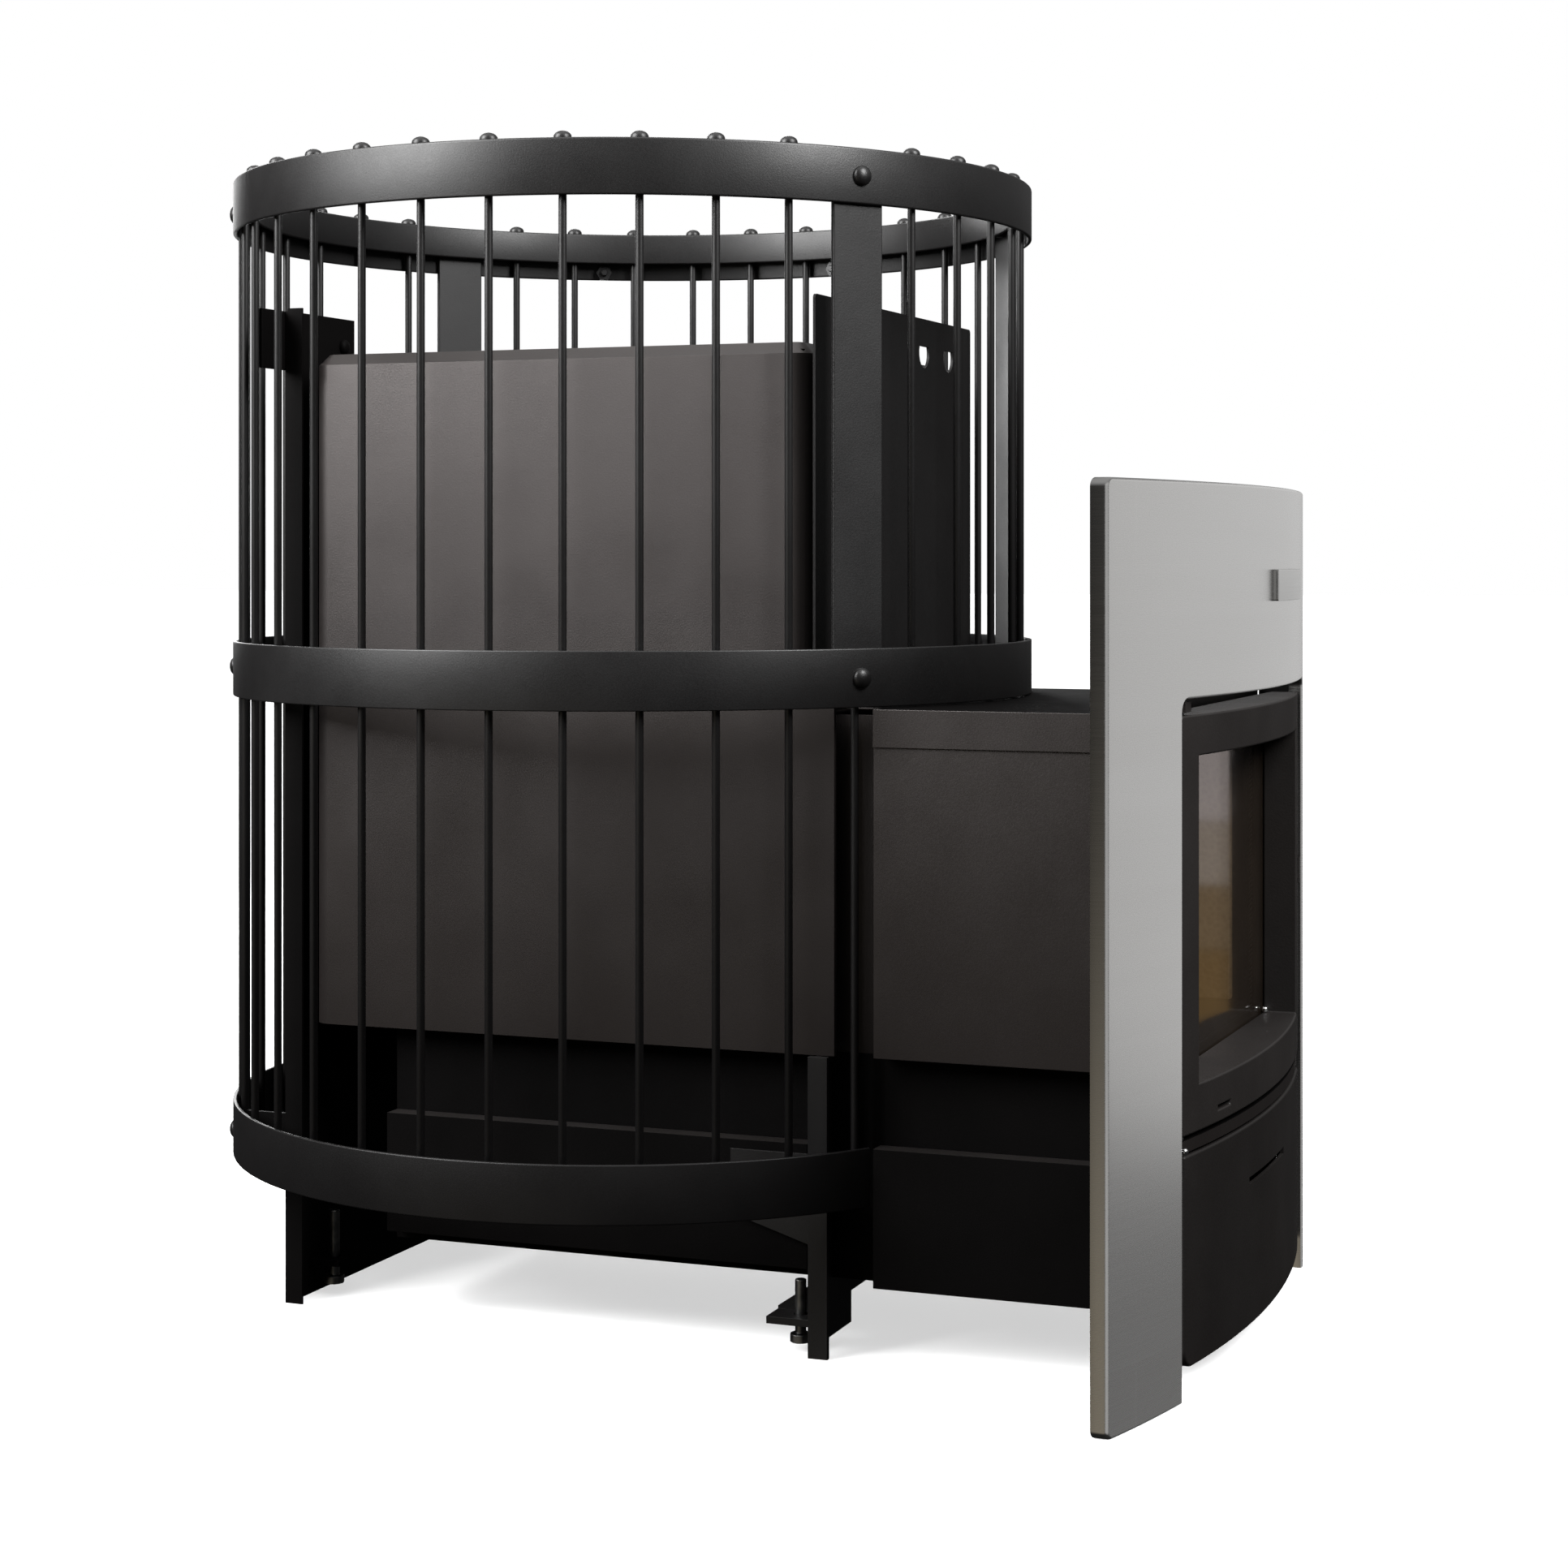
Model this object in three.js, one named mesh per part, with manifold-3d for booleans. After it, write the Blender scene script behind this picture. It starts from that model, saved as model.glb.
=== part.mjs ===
// Wood burning sauna stove, fed through the wall.
//
// A steel firebox stands inside a round open cage of rods that holds the sauna stones. A fire tunnel
// carries the fire door through the wall, where a curved steel surround covers the wall opening.
//
// Millimetres, +Z up, floor at z = 0. The fire door faces -Y and +X is to the right seen from the door.
// Every y below is measured from the axis of the cage; the last lines move the whole stove so that
// the origin is under the middle of its bounding box.

import * as THREE from 'three';
import { mergeVertices } from 'three/addons/utils/BufferGeometryUtils.js';
import Module from 'manifold-3d';

const wasm = await Module();
wasm.setup();

// ---------------------------------------------------------------- driving dimensions

const GAP = 0.3;                       // air between two pieces that touch

// Cage
const CAGE_R = 300;                    // outside of the three rings
const BAND = 3;                        // thickness of the ring steel
const TOP_RING = { bottom: 782, top: 820, lip: 795, inner: 283 };
const MIDDLE_RING = { bottom: 442, top: 482 };
const BOTTOM_RING = { bottom: 104, top: 144, inner: 284 };
const PLACES = 36;                     // rod places round the cage
const PLACE_STEP = 360 / PLACES;
const FIRST_PLACE = PLACE_STEP / 2;    // degrees from -Y towards +X
const ROD_CIRCLE = 291.5;
const ROD_R = 2.75;
const HEAD_R = 6;
const HEAD_HEIGHT = 5.2;
const UPRIGHT_WIDTH = 40;
const UPRIGHT_THICK = 4;
const UPRIGHT_CIRCLE = 291.9;          // inner face of the flat bars
const FRONT_UPRIGHTS = [35, 325];      // stand over the tunnel, down to the middle ring
const REAR_UPRIGHTS = [145, 205];      // stand on the bottom ring
const TUNNEL_SECTOR = 30;              // rods within this angle of -Y stop at the middle ring

// Firebox and tunnel
const BODY = { x: 170, front: -206, back: 181, bottom: 205, top: 691, wall: 5, corner: 14, bevel: 8 };
const TUNNEL = { x: 150, front: -432, bottom: 205, top: 436, wall: 5 };
const FRONT_PLATE = { x: 195, front: -436, bottom: 158, top: 450 };
const SLOT = { back: -225, front: -253 };          // the cage passes the side walls here
const CASING = { x: 169.4, sheet: 1.8, top: 438.8 };
const COVER = { x: 171, sheet: 1.6, top: 441, skirt: 415 };
const FLUE = { y: 70, bore: 56, outside: 60, flange: 75, bottom: 655, top: 698.5 };

// Base
const CHAMBER = { x: 150, back: 122, bottom: 50, wall: 3 };
const SIDE_PLATE = { x: 170, thick: 3, back: 119, bottom: 59, frontBottom: 50, top: 144, lip: 15 };
const BASE_SLOT_BACK = -205;
const REAR_SHIELD = { x: 172, front: 199, thick: 3, top: 685, ear: 725 };
const LEG = { front: -216, back: -212, foot: 10, bar: 4, x: 172 };

// Curved front: everything on it follows one plan arc
const ARC_R = 960;
const SURROUND = { apex: -491, halfWidth: 285, height: 593, sheet: 2, edge: 11, opening: 190, openingTop: 452 };
const PLAQUE = { apex: -495, x: [-6, 92], z: [513, 535] };
const DOOR = { apex: -487, halfWidth: 183, bottom: 169, top: 441, back: -449 };
const WINDOW = { x: 155, bottom: 200, top: 414 };
const DRAWER = { apex: -487, halfWidth: 178, bottom: 18, top: 156, edge: 16, sheet: 3, corner: 12 };
const LEDGE = { apex: -486, bottom: 158, top: 166 };
const HINGE = { x: -172, y: -465, pin: 3, bore: 3.6 };
const GLASS = { x: 160, bottom: 195, top: 419, front: -448.7, thick: 4 };

// ---------------------------------------------------------------- materials

function material(color, roughness, metalness) {
  return new THREE.MeshStandardMaterial({ color, roughness, metalness });
}
const blackCoat = () => material(0x1b1a1b, 0.5, 0.3);
const greyCoat = () => material(0x3a3739, 0.6, 0.3);
const brushedSteel = () => material(0xb9b7b4, 0.32, 1.0);
const castIron = () => material(0x262425, 0.7, 0.6);
const zincSteel = () => material(0x8d8c8a, 0.4, 0.9);
const brick = () => material(0xb08a5c, 0.95, 0);
const rope = () => material(0x55534f, 1, 0);
const fireGlass = () => material(0x2a1c10, 0.08, 0);

// ---------------------------------------------------------------- solids and shapes

function solidOf(geometry) {
  geometry.deleteAttribute('normal');
  geometry.deleteAttribute('uv');
  const merged = mergeVertices(geometry, 1e-4);
  const vertProperties = new Float32Array(merged.attributes.position.array);
  const triVerts = new Uint32Array(merged.index.array);
  return new wasm.Manifold(new wasm.Mesh({ numProp: 3, vertProperties, triVerts }));
}

function geometryOf(solid) {
  const mesh = solid.getMesh();
  const geometry = new THREE.BufferGeometry();
  geometry.setAttribute('position', new THREE.BufferAttribute(new Float32Array(mesh.vertProperties), 3));
  geometry.setIndex(new THREE.BufferAttribute(new Uint32Array(mesh.triVerts), 1));
  geometry.computeVertexNormals();
  return geometry;
}

function joined(...solids) {
  return solids.reduce((whole, next) => whole.add(next));
}

// A block from pairs of low and high faces
function blockGeometry([x0, x1], [y0, y1], [z0, z1]) {
  const geometry = new THREE.BoxGeometry(x1 - x0, y1 - y0, z1 - z0);
  return geometry.translate((x0 + x1) / 2, (y0 + y1) / 2, (z0 + z1) / 2);
}

function block(x, y, z) {
  return solidOf(blockGeometry(x, y, z));
}

// The same block on the left and on the right of the stove
function blockPair([x0, x1], y, z) {
  return joined(block([x0, x1], y, z), block([-x1, -x0], y, z));
}

function post(x, y, radius, [z0, z1], sides = 12) {
  const geometry = new THREE.CylinderGeometry(radius, radius, z1 - z0, sides);
  return solidOf(geometry.rotateX(Math.PI / 2).translate(x, y, (z0 + z1) / 2));
}

// A solid of revolution about +Z from a closed [radius, z] outline
function turnedGeometry(outline, sides) {
  const points = outline.map(([radius, z]) => new THREE.Vector2(radius, z));
  return new THREE.LatheGeometry(points, sides).rotateX(Math.PI / 2);
}

function extruded(shape, depth, curveSegments = 8) {
  return new THREE.ExtrudeGeometry(shape, { depth, bevelEnabled: false, curveSegments });
}

// A plan shape raised from z0 to z1
function raised(shape, [z0, z1], curveSegments) {
  return solidOf(extruded(shape, z1 - z0, curveSegments).translate(0, 0, z0));
}

// A shape drawn in x and z, given the thickness y0 to y1
function upright(shape, [y0, y1], curveSegments) {
  return solidOf(extruded(shape, y1 - y0, curveSegments).rotateX(Math.PI / 2).translate(0, y1, 0));
}

// A shape drawn in y and z, given the thickness x0 to x1
function sideways(shape, [x0, x1]) {
  const turn = new THREE.Matrix4().makeBasis(
    new THREE.Vector3(0, 1, 0),
    new THREE.Vector3(0, 0, 1),
    new THREE.Vector3(1, 0, 0),
  );
  return solidOf(extruded(shape, x1 - x0).applyMatrix4(turn).translate(x0, 0, 0));
}

function roundedRectangle([x0, x1], [y0, y1], radius) {
  const shape = new THREE.Shape();
  shape.absarc(x1 - radius, y0 + radius, radius, -Math.PI / 2, 0, false);
  shape.absarc(x1 - radius, y1 - radius, radius, 0, Math.PI / 2, false);
  shape.absarc(x0 + radius, y1 - radius, radius, Math.PI / 2, Math.PI, false);
  shape.absarc(x0 + radius, y0 + radius, radius, Math.PI, 1.5 * Math.PI, false);
  shape.closePath();
  return shape;
}

// Plan of a piece on the curved front. Its face is an arc with its nearest point at y = apex;
// its back is an arc `depth` behind the face, or straight at y = back.
function frontPlan(apex, halfWidth, { depth, back }) {
  const shape = new THREE.Shape();
  const centre = apex + ARC_R;
  const half = Math.asin(halfWidth / ARC_R);
  shape.absarc(0, centre, ARC_R, -Math.PI / 2 - half, -Math.PI / 2 + half, false);
  if (back === undefined) {
    const inner = ARC_R - depth;
    const innerHalf = Math.asin(halfWidth / inner);
    shape.absarc(0, centre, inner, -Math.PI / 2 + innerHalf, -Math.PI / 2 - innerHalf, true);
  } else {
    shape.lineTo(halfWidth, back);
    shape.lineTo(-halfWidth, back);
  }
  shape.closePath();
  return shape;
}

function curvedSlab(apex, halfWidth, form, z) {
  return raised(frontPlan(apex, halfWidth, form), z, 14);
}

function meshOf(name, geometry, look) {
  const mesh = new THREE.Mesh(geometry, look);
  mesh.name = name;
  return mesh;
}

function groupOf(...members) {
  const group = new THREE.Group();
  members.flat().forEach((member) => group.add(member));
  return group;
}

// ---------------------------------------------------------------- cage

const radians = (degrees) => (degrees * Math.PI) / 180;
const fromFront = (place) => Math.min(place, 360 - place);

const places = Array.from({ length: PLACES }, (_, index) => FIRST_PLACE + index * PLACE_STEP);
const uprightPlaces = [...FRONT_UPRIGHTS, ...REAR_UPRIGHTS];
const rodPlaces = places.filter((place) => !uprightPlaces.includes(place));
const longRodPlaces = rodPlaces.filter((place) => fromFront(place) > TUNNEL_SECTOR);
const shortRodPlaces = rodPlaces.filter((place) => fromFront(place) < TUNNEL_SECTOR);

// A rod at the front of the cage, with its domed head above the flange of the top ring
function headedRodGeometry(bottom) {
  const seat = TOP_RING.top + GAP;
  return turnedGeometry([
    [0, bottom],
    [ROD_R, bottom],
    [ROD_R, seat],
    [HEAD_R, seat],
    [HEAD_R, seat + 0.2 * HEAD_HEIGHT],
    [0.75 * HEAD_R, seat + 0.7 * HEAD_HEIGHT],
    [0.4 * HEAD_R, seat + 0.95 * HEAD_HEIGHT],
    [0, seat + HEAD_HEIGHT],
  ], 8).translate(0, -ROD_CIRCLE, 0);
}

function rodFoot() {
  return BOTTOM_RING.bottom + BAND + GAP;
}

function longRods() {
  return longRodPlaces.map((place, index) => {
    const rod = meshOf(`cage_rod_${String(index + 1).padStart(2, '0')}`, headedRodGeometry(rodFoot()), blackCoat());
    rod.rotation.z = radians(place);
    return rod;
  });
}

function topRing() {
  const { bottom, top, lip, inner } = TOP_RING;
  const channel = solidOf(turnedGeometry([
    [CAGE_R, bottom],
    [CAGE_R, top],
    [inner, top],
    [inner, lip],
    [inner + BAND, lip],
    [inner + BAND, top - BAND],
    [CAGE_R - BAND, top - BAND],
    [CAGE_R - BAND, bottom],
    [CAGE_R, bottom],
  ], 72));
  const holes = rodPlaces.map((place) => {
    const hole = new THREE.CylinderGeometry(3.7, 3.7, 3 * BAND, 6).rotateX(Math.PI / 2);
    return solidOf(hole.translate(0, -ROD_CIRCLE, top).rotateZ(radians(place)));
  });
  return channel.subtract(joined(...holes));
}

// The middle band with the rods that are welded to its inside: short headed rods above the tunnel,
// and one rod at each side of the tunnel that goes on down to the bottom ring
function middleRing() {
  const { bottom, top } = MIDDLE_RING;
  const band = solidOf(turnedGeometry([
    [CAGE_R, bottom],
    [CAGE_R, top],
    [CAGE_R - BAND, top],
    [CAGE_R - BAND, bottom],
    [CAGE_R, bottom],
  ], 72));
  const weld = (place) => {
    const pad = blockGeometry([-1.5, 1.5], [1 - CAGE_R, -ROD_CIRCLE], [bottom + 8, top - 8]);
    return solidOf(pad.rotateZ(radians(place)));
  };
  const shortRods = shortRodPlaces.map((place) => {
    return joined(solidOf(headedRodGeometry(bottom + 1).rotateZ(radians(place))), weld(place));
  });
  const lowerRods = FRONT_UPRIGHTS.map((place) => {
    const rod = new THREE.CylinderGeometry(ROD_R, ROD_R, bottom + 24 - rodFoot(), 8).rotateX(Math.PI / 2);
    rod.translate(0, -ROD_CIRCLE, (bottom + 24 + rodFoot()) / 2).rotateZ(radians(place));
    return joined(solidOf(rod), weld(place));
  });
  const uprightNotches = FRONT_UPRIGHTS.map((place) => {
    const notch = blockGeometry([-22, 22], [-CAGE_R + BAND, -ROD_CIRCLE + 8], [bottom + 24 + GAP, top + 1]);
    return solidOf(notch.rotateZ(radians(place)));
  });
  return joined(band, ...shortRods, ...lowerRods).subtract(joined(...uprightNotches));
}

// The bottom band, turned in at its foot for the rods, and open where the tunnel passes
function bottomRing() {
  const { bottom, top, inner } = BOTTOM_RING;
  const ring = solidOf(turnedGeometry([
    [CAGE_R, bottom],
    [CAGE_R, top],
    [CAGE_R - BAND, top],
    [CAGE_R - BAND, bottom + BAND],
    [inner, bottom + BAND],
    [inner, bottom],
    [CAGE_R, bottom],
  ], 72));
  const tunnelPass = new THREE.Shape();
  const reach = 1.5 * CAGE_R;
  const half = radians(33.7);
  tunnelPass.moveTo(0, 0);
  tunnelPass.lineTo(-reach * Math.sin(half), -reach * Math.cos(half));
  tunnelPass.lineTo(reach * Math.sin(half), -reach * Math.cos(half));
  return ring.subtract(raised(tunnelPass, [bottom - 10, top + 10]));
}

function uprights() {
  return uprightPlaces.map((place) => {
    const front = FRONT_UPRIGHTS.includes(place);
    const foot = front ? MIDDLE_RING.bottom + 24.6 : rodFoot();
    const bar = blockGeometry(
      [-UPRIGHT_WIDTH / 2, UPRIGHT_WIDTH / 2],
      [-UPRIGHT_CIRCLE - UPRIGHT_THICK, -UPRIGHT_CIRCLE],
      [foot, TOP_RING.top - BAND - GAP],
    );
    const side = place > 180 ? 'left' : 'right';
    const upright = meshOf(`cage_upright_${front ? 'front' : 'rear'}_${side}`, bar, blackCoat());
    upright.rotation.z = radians(place);
    return upright;
  });
}

const cage = groupOf(
  meshOf('top_ring', geometryOf(topRing()), blackCoat()),
  meshOf('middle_ring', geometryOf(middleRing()), blackCoat()),
  meshOf('bottom_ring', geometryOf(bottomRing()), blackCoat()),
  uprights(),
  longRods(),
);

// ---------------------------------------------------------------- firebox and tunnel

// Tall box with rounded upright corners and a bevelled top edge
function bodyShell() {
  const { x, front, back, bottom, top, corner, bevel } = BODY;
  const plan = roundedRectangle([-x + bevel, x - bevel], [front + bevel, back - bevel], corner - bevel);
  const height = top - bottom;
  const geometry = new THREE.ExtrudeGeometry(plan, {
    depth: height,
    bevelThickness: bevel,
    bevelSize: bevel,
    bevelSegments: 1,
    curveSegments: 4,
  });
  geometry.translate(0, 0, top - height - bevel);
  const foot = block([-x - 1, x + 1], [front - 1, back + 1], [bottom - 3 * bevel, bottom]);
  return solidOf(geometry).subtract(foot);
}

function fireboxBody() {
  const wall = BODY.wall;
  const solid = joined(
    bodyShell(),
    block([-TUNNEL.x, TUNNEL.x], [TUNNEL.front, BODY.front + 1], [TUNNEL.bottom, TUNNEL.top]),
    block([-FRONT_PLATE.x, FRONT_PLATE.x], [FRONT_PLATE.front, TUNNEL.front], [FRONT_PLATE.bottom, FRONT_PLATE.top]),
    blockPair([BODY.x - 4, BODY.x], [SLOT.back, BODY.front + BODY.corner], [BODY.bottom, COVER.top]),
    curvedSlab(LEDGE.apex, DOOR.halfWidth, { back: TUNNEL.front }, [LEDGE.bottom, LEDGE.top]),
    block([HINGE.x - 8, HINGE.x + 8], [HINGE.y - 6, TUNNEL.front], [DOOR.top + 2, FRONT_PLATE.top]),
    block([185, 188], [-470, TUNNEL.front], [295, 315]),
  );
  const hollow = joined(
    block([wall - BODY.x, BODY.x - wall], [BODY.front + wall, BODY.back - wall], [BODY.bottom + wall, BODY.top - wall]),
    block(
      [TUNNEL.wall - TUNNEL.x, TUNNEL.x - TUNNEL.wall],
      [FRONT_PLATE.front - 1, BODY.front + wall + 1],
      [TUNNEL.bottom + TUNNEL.wall, TUNNEL.top - TUNNEL.wall],
    ),
    block([-80, 80], [-140, 110], [BODY.bottom - 1, BODY.bottom + wall + 1]),
    post(0, FLUE.y, FLUE.outside + 1, [BODY.top - wall - 1, BODY.top + 1], 32),
    post(HINGE.x, HINGE.y, HINGE.bore, [LEDGE.bottom - 1, FRONT_PLATE.top + 1]),
  );
  const baffleRails = blockPair([BODY.x - 15, BODY.x - 4], [-40, 160], [550, 559.7]);
  return joined(solid.subtract(hollow), baffleRails);
}

// Side sheets of the tunnel, tied over its roof, with their rear edges turned in
function tunnelCasing() {
  const { x, sheet, top } = CASING;
  const run = [FRONT_PLATE.front + 4.3, SLOT.front];
  return joined(
    blockPair([x - sheet, x], run, [TUNNEL.bottom, top]),
    block([-x, x], run, [top - sheet, top]),
    blockPair([TUNNEL.x + GAP, x], [SLOT.front - sheet, SLOT.front], [TUNNEL.bottom, top]),
  );
}

function tunnelCover() {
  const { x, sheet, top, skirt } = COVER;
  const run = [FRONT_PLATE.front + 4.3, SLOT.front];
  return joined(
    block([-x, x], run, [top - sheet, top]),
    blockPair([x - 1.3, x], run, [skirt, top]),
    block([-TUNNEL.x, TUNNEL.x], [SLOT.front - 1, BODY.front - 8], [top - sheet, top]),
  );
}

// A drop-shaped hole: a round belly drawn out to a point above
function dropHole(x, z) {
  const radius = 11.5;
  const hole = new THREE.Path();
  hole.moveTo(x, z + 15);
  hole.absarc(x, z, radius, radians(155), radians(385), false);
  hole.closePath();
  return hole;
}

function frontHeatShield() {
  const shape = roundedRectangle([-170, 170], [COVER.top + GAP, 723], 3);
  [-115, -58, 58, 115].forEach((x) => shape.holes.push(dropHole(x, 697.5)));
  return upright(shape, [-211.5, -209.5], 6);
}

function rearHeatShield() {
  const { x, front, thick, top, ear } = REAR_SHIELD;
  const back = front + thick;
  const plate = joined(
    block([-x, x], [front, back], [0, top]),
    block([-x, -78], [front, back], [top - 1, ear - 2]),
    block([-x, 2 - x], [front - 11, front + 1], [0, ear]),
    block([x - 2, x], [front - 11, front + 1], [0, top]),
    blockPair([110, 130], [BODY.back + GAP, front + 1], [290, 310]),
    blockPair([110, 130], [BODY.back + GAP, front + 1], [590, 610]),
    blockPair([112, 144], [174, front + 1], [22, 26]),
    blockPair([168, 171], [back - 1, 235.8], [BOTTOM_RING.bottom + 8, BOTTOM_RING.top - 6]),
  );
  return plate.subtract(joined(post(-128, 187, 4.8, [20, 28]), post(128, 187, 4.8, [20, 28])));
}

// Flat strap behind the left ear of the rear shield
function rearBracket() {
  const front = REAR_SHIELD.front + REAR_SHIELD.thick + GAP;
  return blockGeometry([-202.8, -80], [front, front + BAND], [680, 723]);
}

function flueCollar() {
  const { y, bore, outside, flange, bottom, top } = FLUE;
  const seat = BODY.top + GAP;
  return turnedGeometry([
    [outside, bottom],
    [outside, seat],
    [flange, seat],
    [flange, seat + BAND],
    [outside, seat + BAND],
    [outside, top],
    [bore, top],
    [bore, bottom],
    [outside, bottom],
  ], 32).translate(0, y, 0);
}

function grate() {
  const plate = block([-92, 92], [-152, 122], [BODY.bottom + BODY.wall + GAP, 221]);
  const slots = [-4, -3, -2, -1, 0, 1, 2, 3, 4].map((step) => {
    return block([step * 16 - 4, step * 16 + 4], [-130, 100], [200, 230]);
  });
  return plate.subtract(joined(...slots));
}

// Side lining of the firebox, with a thinner board that runs on along the tunnel
const BRICK = { bottom: BODY.bottom + BODY.wall + GAP, top: 440, front: -198, back: 144 };

function sideBrick(side) {
  const { bottom, top, front, back } = BRICK;
  const span = (near, far) => (side > 0 ? [near, far] : [-far, -near]);
  return joined(
    block(span(134.5, 164.5), [front, back], [bottom, top]),
    block(span(134.5, 144.5), [FRONT_PLATE.front + 8, front + 1], [bottom, TUNNEL.top - TUNNEL.wall - 1]),
  );
}

const firebox = groupOf(
  meshOf('firebox_body', geometryOf(fireboxBody()), greyCoat()),
  meshOf('tunnel_casing', geometryOf(tunnelCasing()), greyCoat()),
  meshOf('tunnel_cover', geometryOf(tunnelCover()), greyCoat()),
  meshOf('front_heat_shield', geometryOf(frontHeatShield()), blackCoat()),
  meshOf('rear_heat_shield', geometryOf(rearHeatShield()), blackCoat()),
  meshOf('rear_bracket', rearBracket(), blackCoat()),
  meshOf('flue_collar', flueCollar(), blackCoat()),
  meshOf('baffle_plate', blockGeometry([-163, 163], [-60, 174], [560, 568]), castIron()),
  meshOf('grate', geometryOf(grate()), castIron()),
  meshOf('firebrick_left', geometryOf(sideBrick(-1)), brick()),
  meshOf('firebrick_right', geometryOf(sideBrick(1)), brick()),
  meshOf('firebrick_rear', blockGeometry([-164, 164], [BRICK.back + 1, 175.5], [BRICK.bottom, BRICK.top]), brick()),
);

// ---------------------------------------------------------------- base

// Open-topped ash chamber under the firebox, with the lower side plates carried on its bottom flanges
function baseFrame() {
  const front = TUNNEL.front + GAP;
  const { x, back, bottom, wall } = CHAMBER;
  const side = SIDE_PLATE;
  const chamber = block([-x, x], [front, back], [bottom, BODY.bottom - GAP]);
  const room = block([wall - x, x - wall], [front - 1, back - wall], [bottom + wall, BODY.bottom]);
  const sidePlates = joined(
    blockPair([side.x - side.thick, side.x], [front, side.back], [side.bottom, side.top]),
    blockPair([side.x - side.thick, side.x], [front, SLOT.front], [side.frontBottom, side.top]),
    blockPair([side.x - side.lip, side.x], [front, side.back], [side.top - side.thick, side.top]),
    blockPair([x - 1, side.x], [front, side.back], [side.bottom, side.bottom + side.thick]),
    blockPair([x - 1, side.x], [front, SLOT.front], [side.frontBottom, side.frontBottom + side.thick]),
  );
  const slot = blockPair([x, side.x + 1], [SLOT.front, BASE_SLOT_BACK], [bottom - 5, side.top + 1]);
  const runners = blockPair([118, 126], [front, 100], [bottom + 1, bottom + 5.6]);
  const strut = block([-60, 60], [back - 1, REAR_SHIELD.front - GAP], [150, 190]);
  return joined(chamber.subtract(room), sidePlates.subtract(slot), runners, strut);
}

// Cross plate with a leg at each side, in the slot of the side plates
function frontLegs() {
  const { front, back, foot, bar, x } = LEG;
  const top = BODY.bottom - GAP;
  const gusset = new THREE.Shape([
    new THREE.Vector2(-209, 76),
    new THREE.Vector2(-150, 94),
    new THREE.Vector2(-150, 138),
    new THREE.Vector2(-209, 138),
  ]);
  const tabRib = new THREE.Shape([
    new THREE.Vector2(-213, 20),
    new THREE.Vector2(-176, 20),
    new THREE.Vector2(-176, 27),
    new THREE.Vector2(-198, 42),
    new THREE.Vector2(-198, SIDE_PLATE.frontBottom - GAP),
    new THREE.Vector2(-213, SIDE_PLATE.frontBottom - GAP),
  ]);
  const frame = joined(
    block([-x, x], [front, back], [32, CHAMBER.bottom - GAP]),
    blockPair([112, x], [front, back], [foot, CHAMBER.bottom - GAP]),
    blockPair([CHAMBER.x + GAP, x], [front, back], [foot, top]),
    blockPair([x - 0.5, x + bar], [-222, -208], [0, top]),
    blockPair([146, x], [back - 1, -176], [20, 25]),
    sideways(gusset, [x - 1, x + 1]),
    sideways(gusset, [-x - 1, -x + 1]),
    sideways(tabRib, [146, 150]),
    sideways(tabRib, [-150, -146]),
  );
  return frame.subtract(joined(post(-158, -196, 4.8, [15, 30]), post(158, -196, 4.8, [15, 30])));
}

function levellingScrew(name, x, y, top) {
  const screw = turnedGeometry([[0, 6], [7.5, 6], [7.5, 12], [4, 12], [4, top], [0, top]], 12);
  const mesh = meshOf(name, screw, zincSteel());
  mesh.position.set(x, y, 0);
  return mesh;
}

const base = groupOf(
  meshOf('base_frame', geometryOf(baseFrame()), blackCoat()),
  meshOf('front_legs', geometryOf(frontLegs()), blackCoat()),
  levellingScrew('levelling_screw_front_left', -158, -196, 49),
  levellingScrew('levelling_screw_front_right', 158, -196, 49),
  levellingScrew('levelling_screw_rear_left', -128, 187, 60),
  levellingScrew('levelling_screw_rear_right', 128, 187, 60),
);

// ---------------------------------------------------------------- curved front

// Bent steel sheet with its edges returned and a plain raised plaque, on pads that stand on the front
// plate of the tunnel
function frontSurround() {
  const { apex, halfWidth, height, sheet, edge, opening, openingTop } = SURROUND;
  const face = curvedSlab(apex, halfWidth, { depth: edge }, [0, height]);
  const pocket = curvedSlab(apex + sheet, halfWidth - sheet, { depth: edge + 4 }, [sheet, height - sheet]);
  const openingBlock = (grow) => {
    const shape = roundedRectangle([-opening - grow, opening + grow], [-30, openingTop + grow], 8);
    return upright(shape, [apex - 5, apex + 80], 3);
  };
  const pads = joined(
    blockPair([196, 214], [-466, FRONT_PLATE.front - GAP], [176, 206]),
    blockPair([196, 214], [-466, FRONT_PLATE.front - GAP], [400, 451]),
  );
  const padFeet = blockPair([180, 194.7], [-445, FRONT_PLATE.front - GAP], [150, 460]);
  const sheetSolid = face.subtract(openingBlock(0)).subtract(pocket.subtract(openingBlock(sheet)));
  const plaque = curvedSlab(PLAQUE.apex, PLAQUE.x[1] + 10, { depth: 5 }, PLAQUE.z);
  const plaqueBounds = block(PLAQUE.x, [PLAQUE.apex - 1, PLAQUE.apex + 20], [PLAQUE.z[0] - 1, PLAQUE.z[1] + 1]);
  return joined(sheetSolid, pads.subtract(padFeet), plaque.intersect(plaqueBounds));
}

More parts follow.
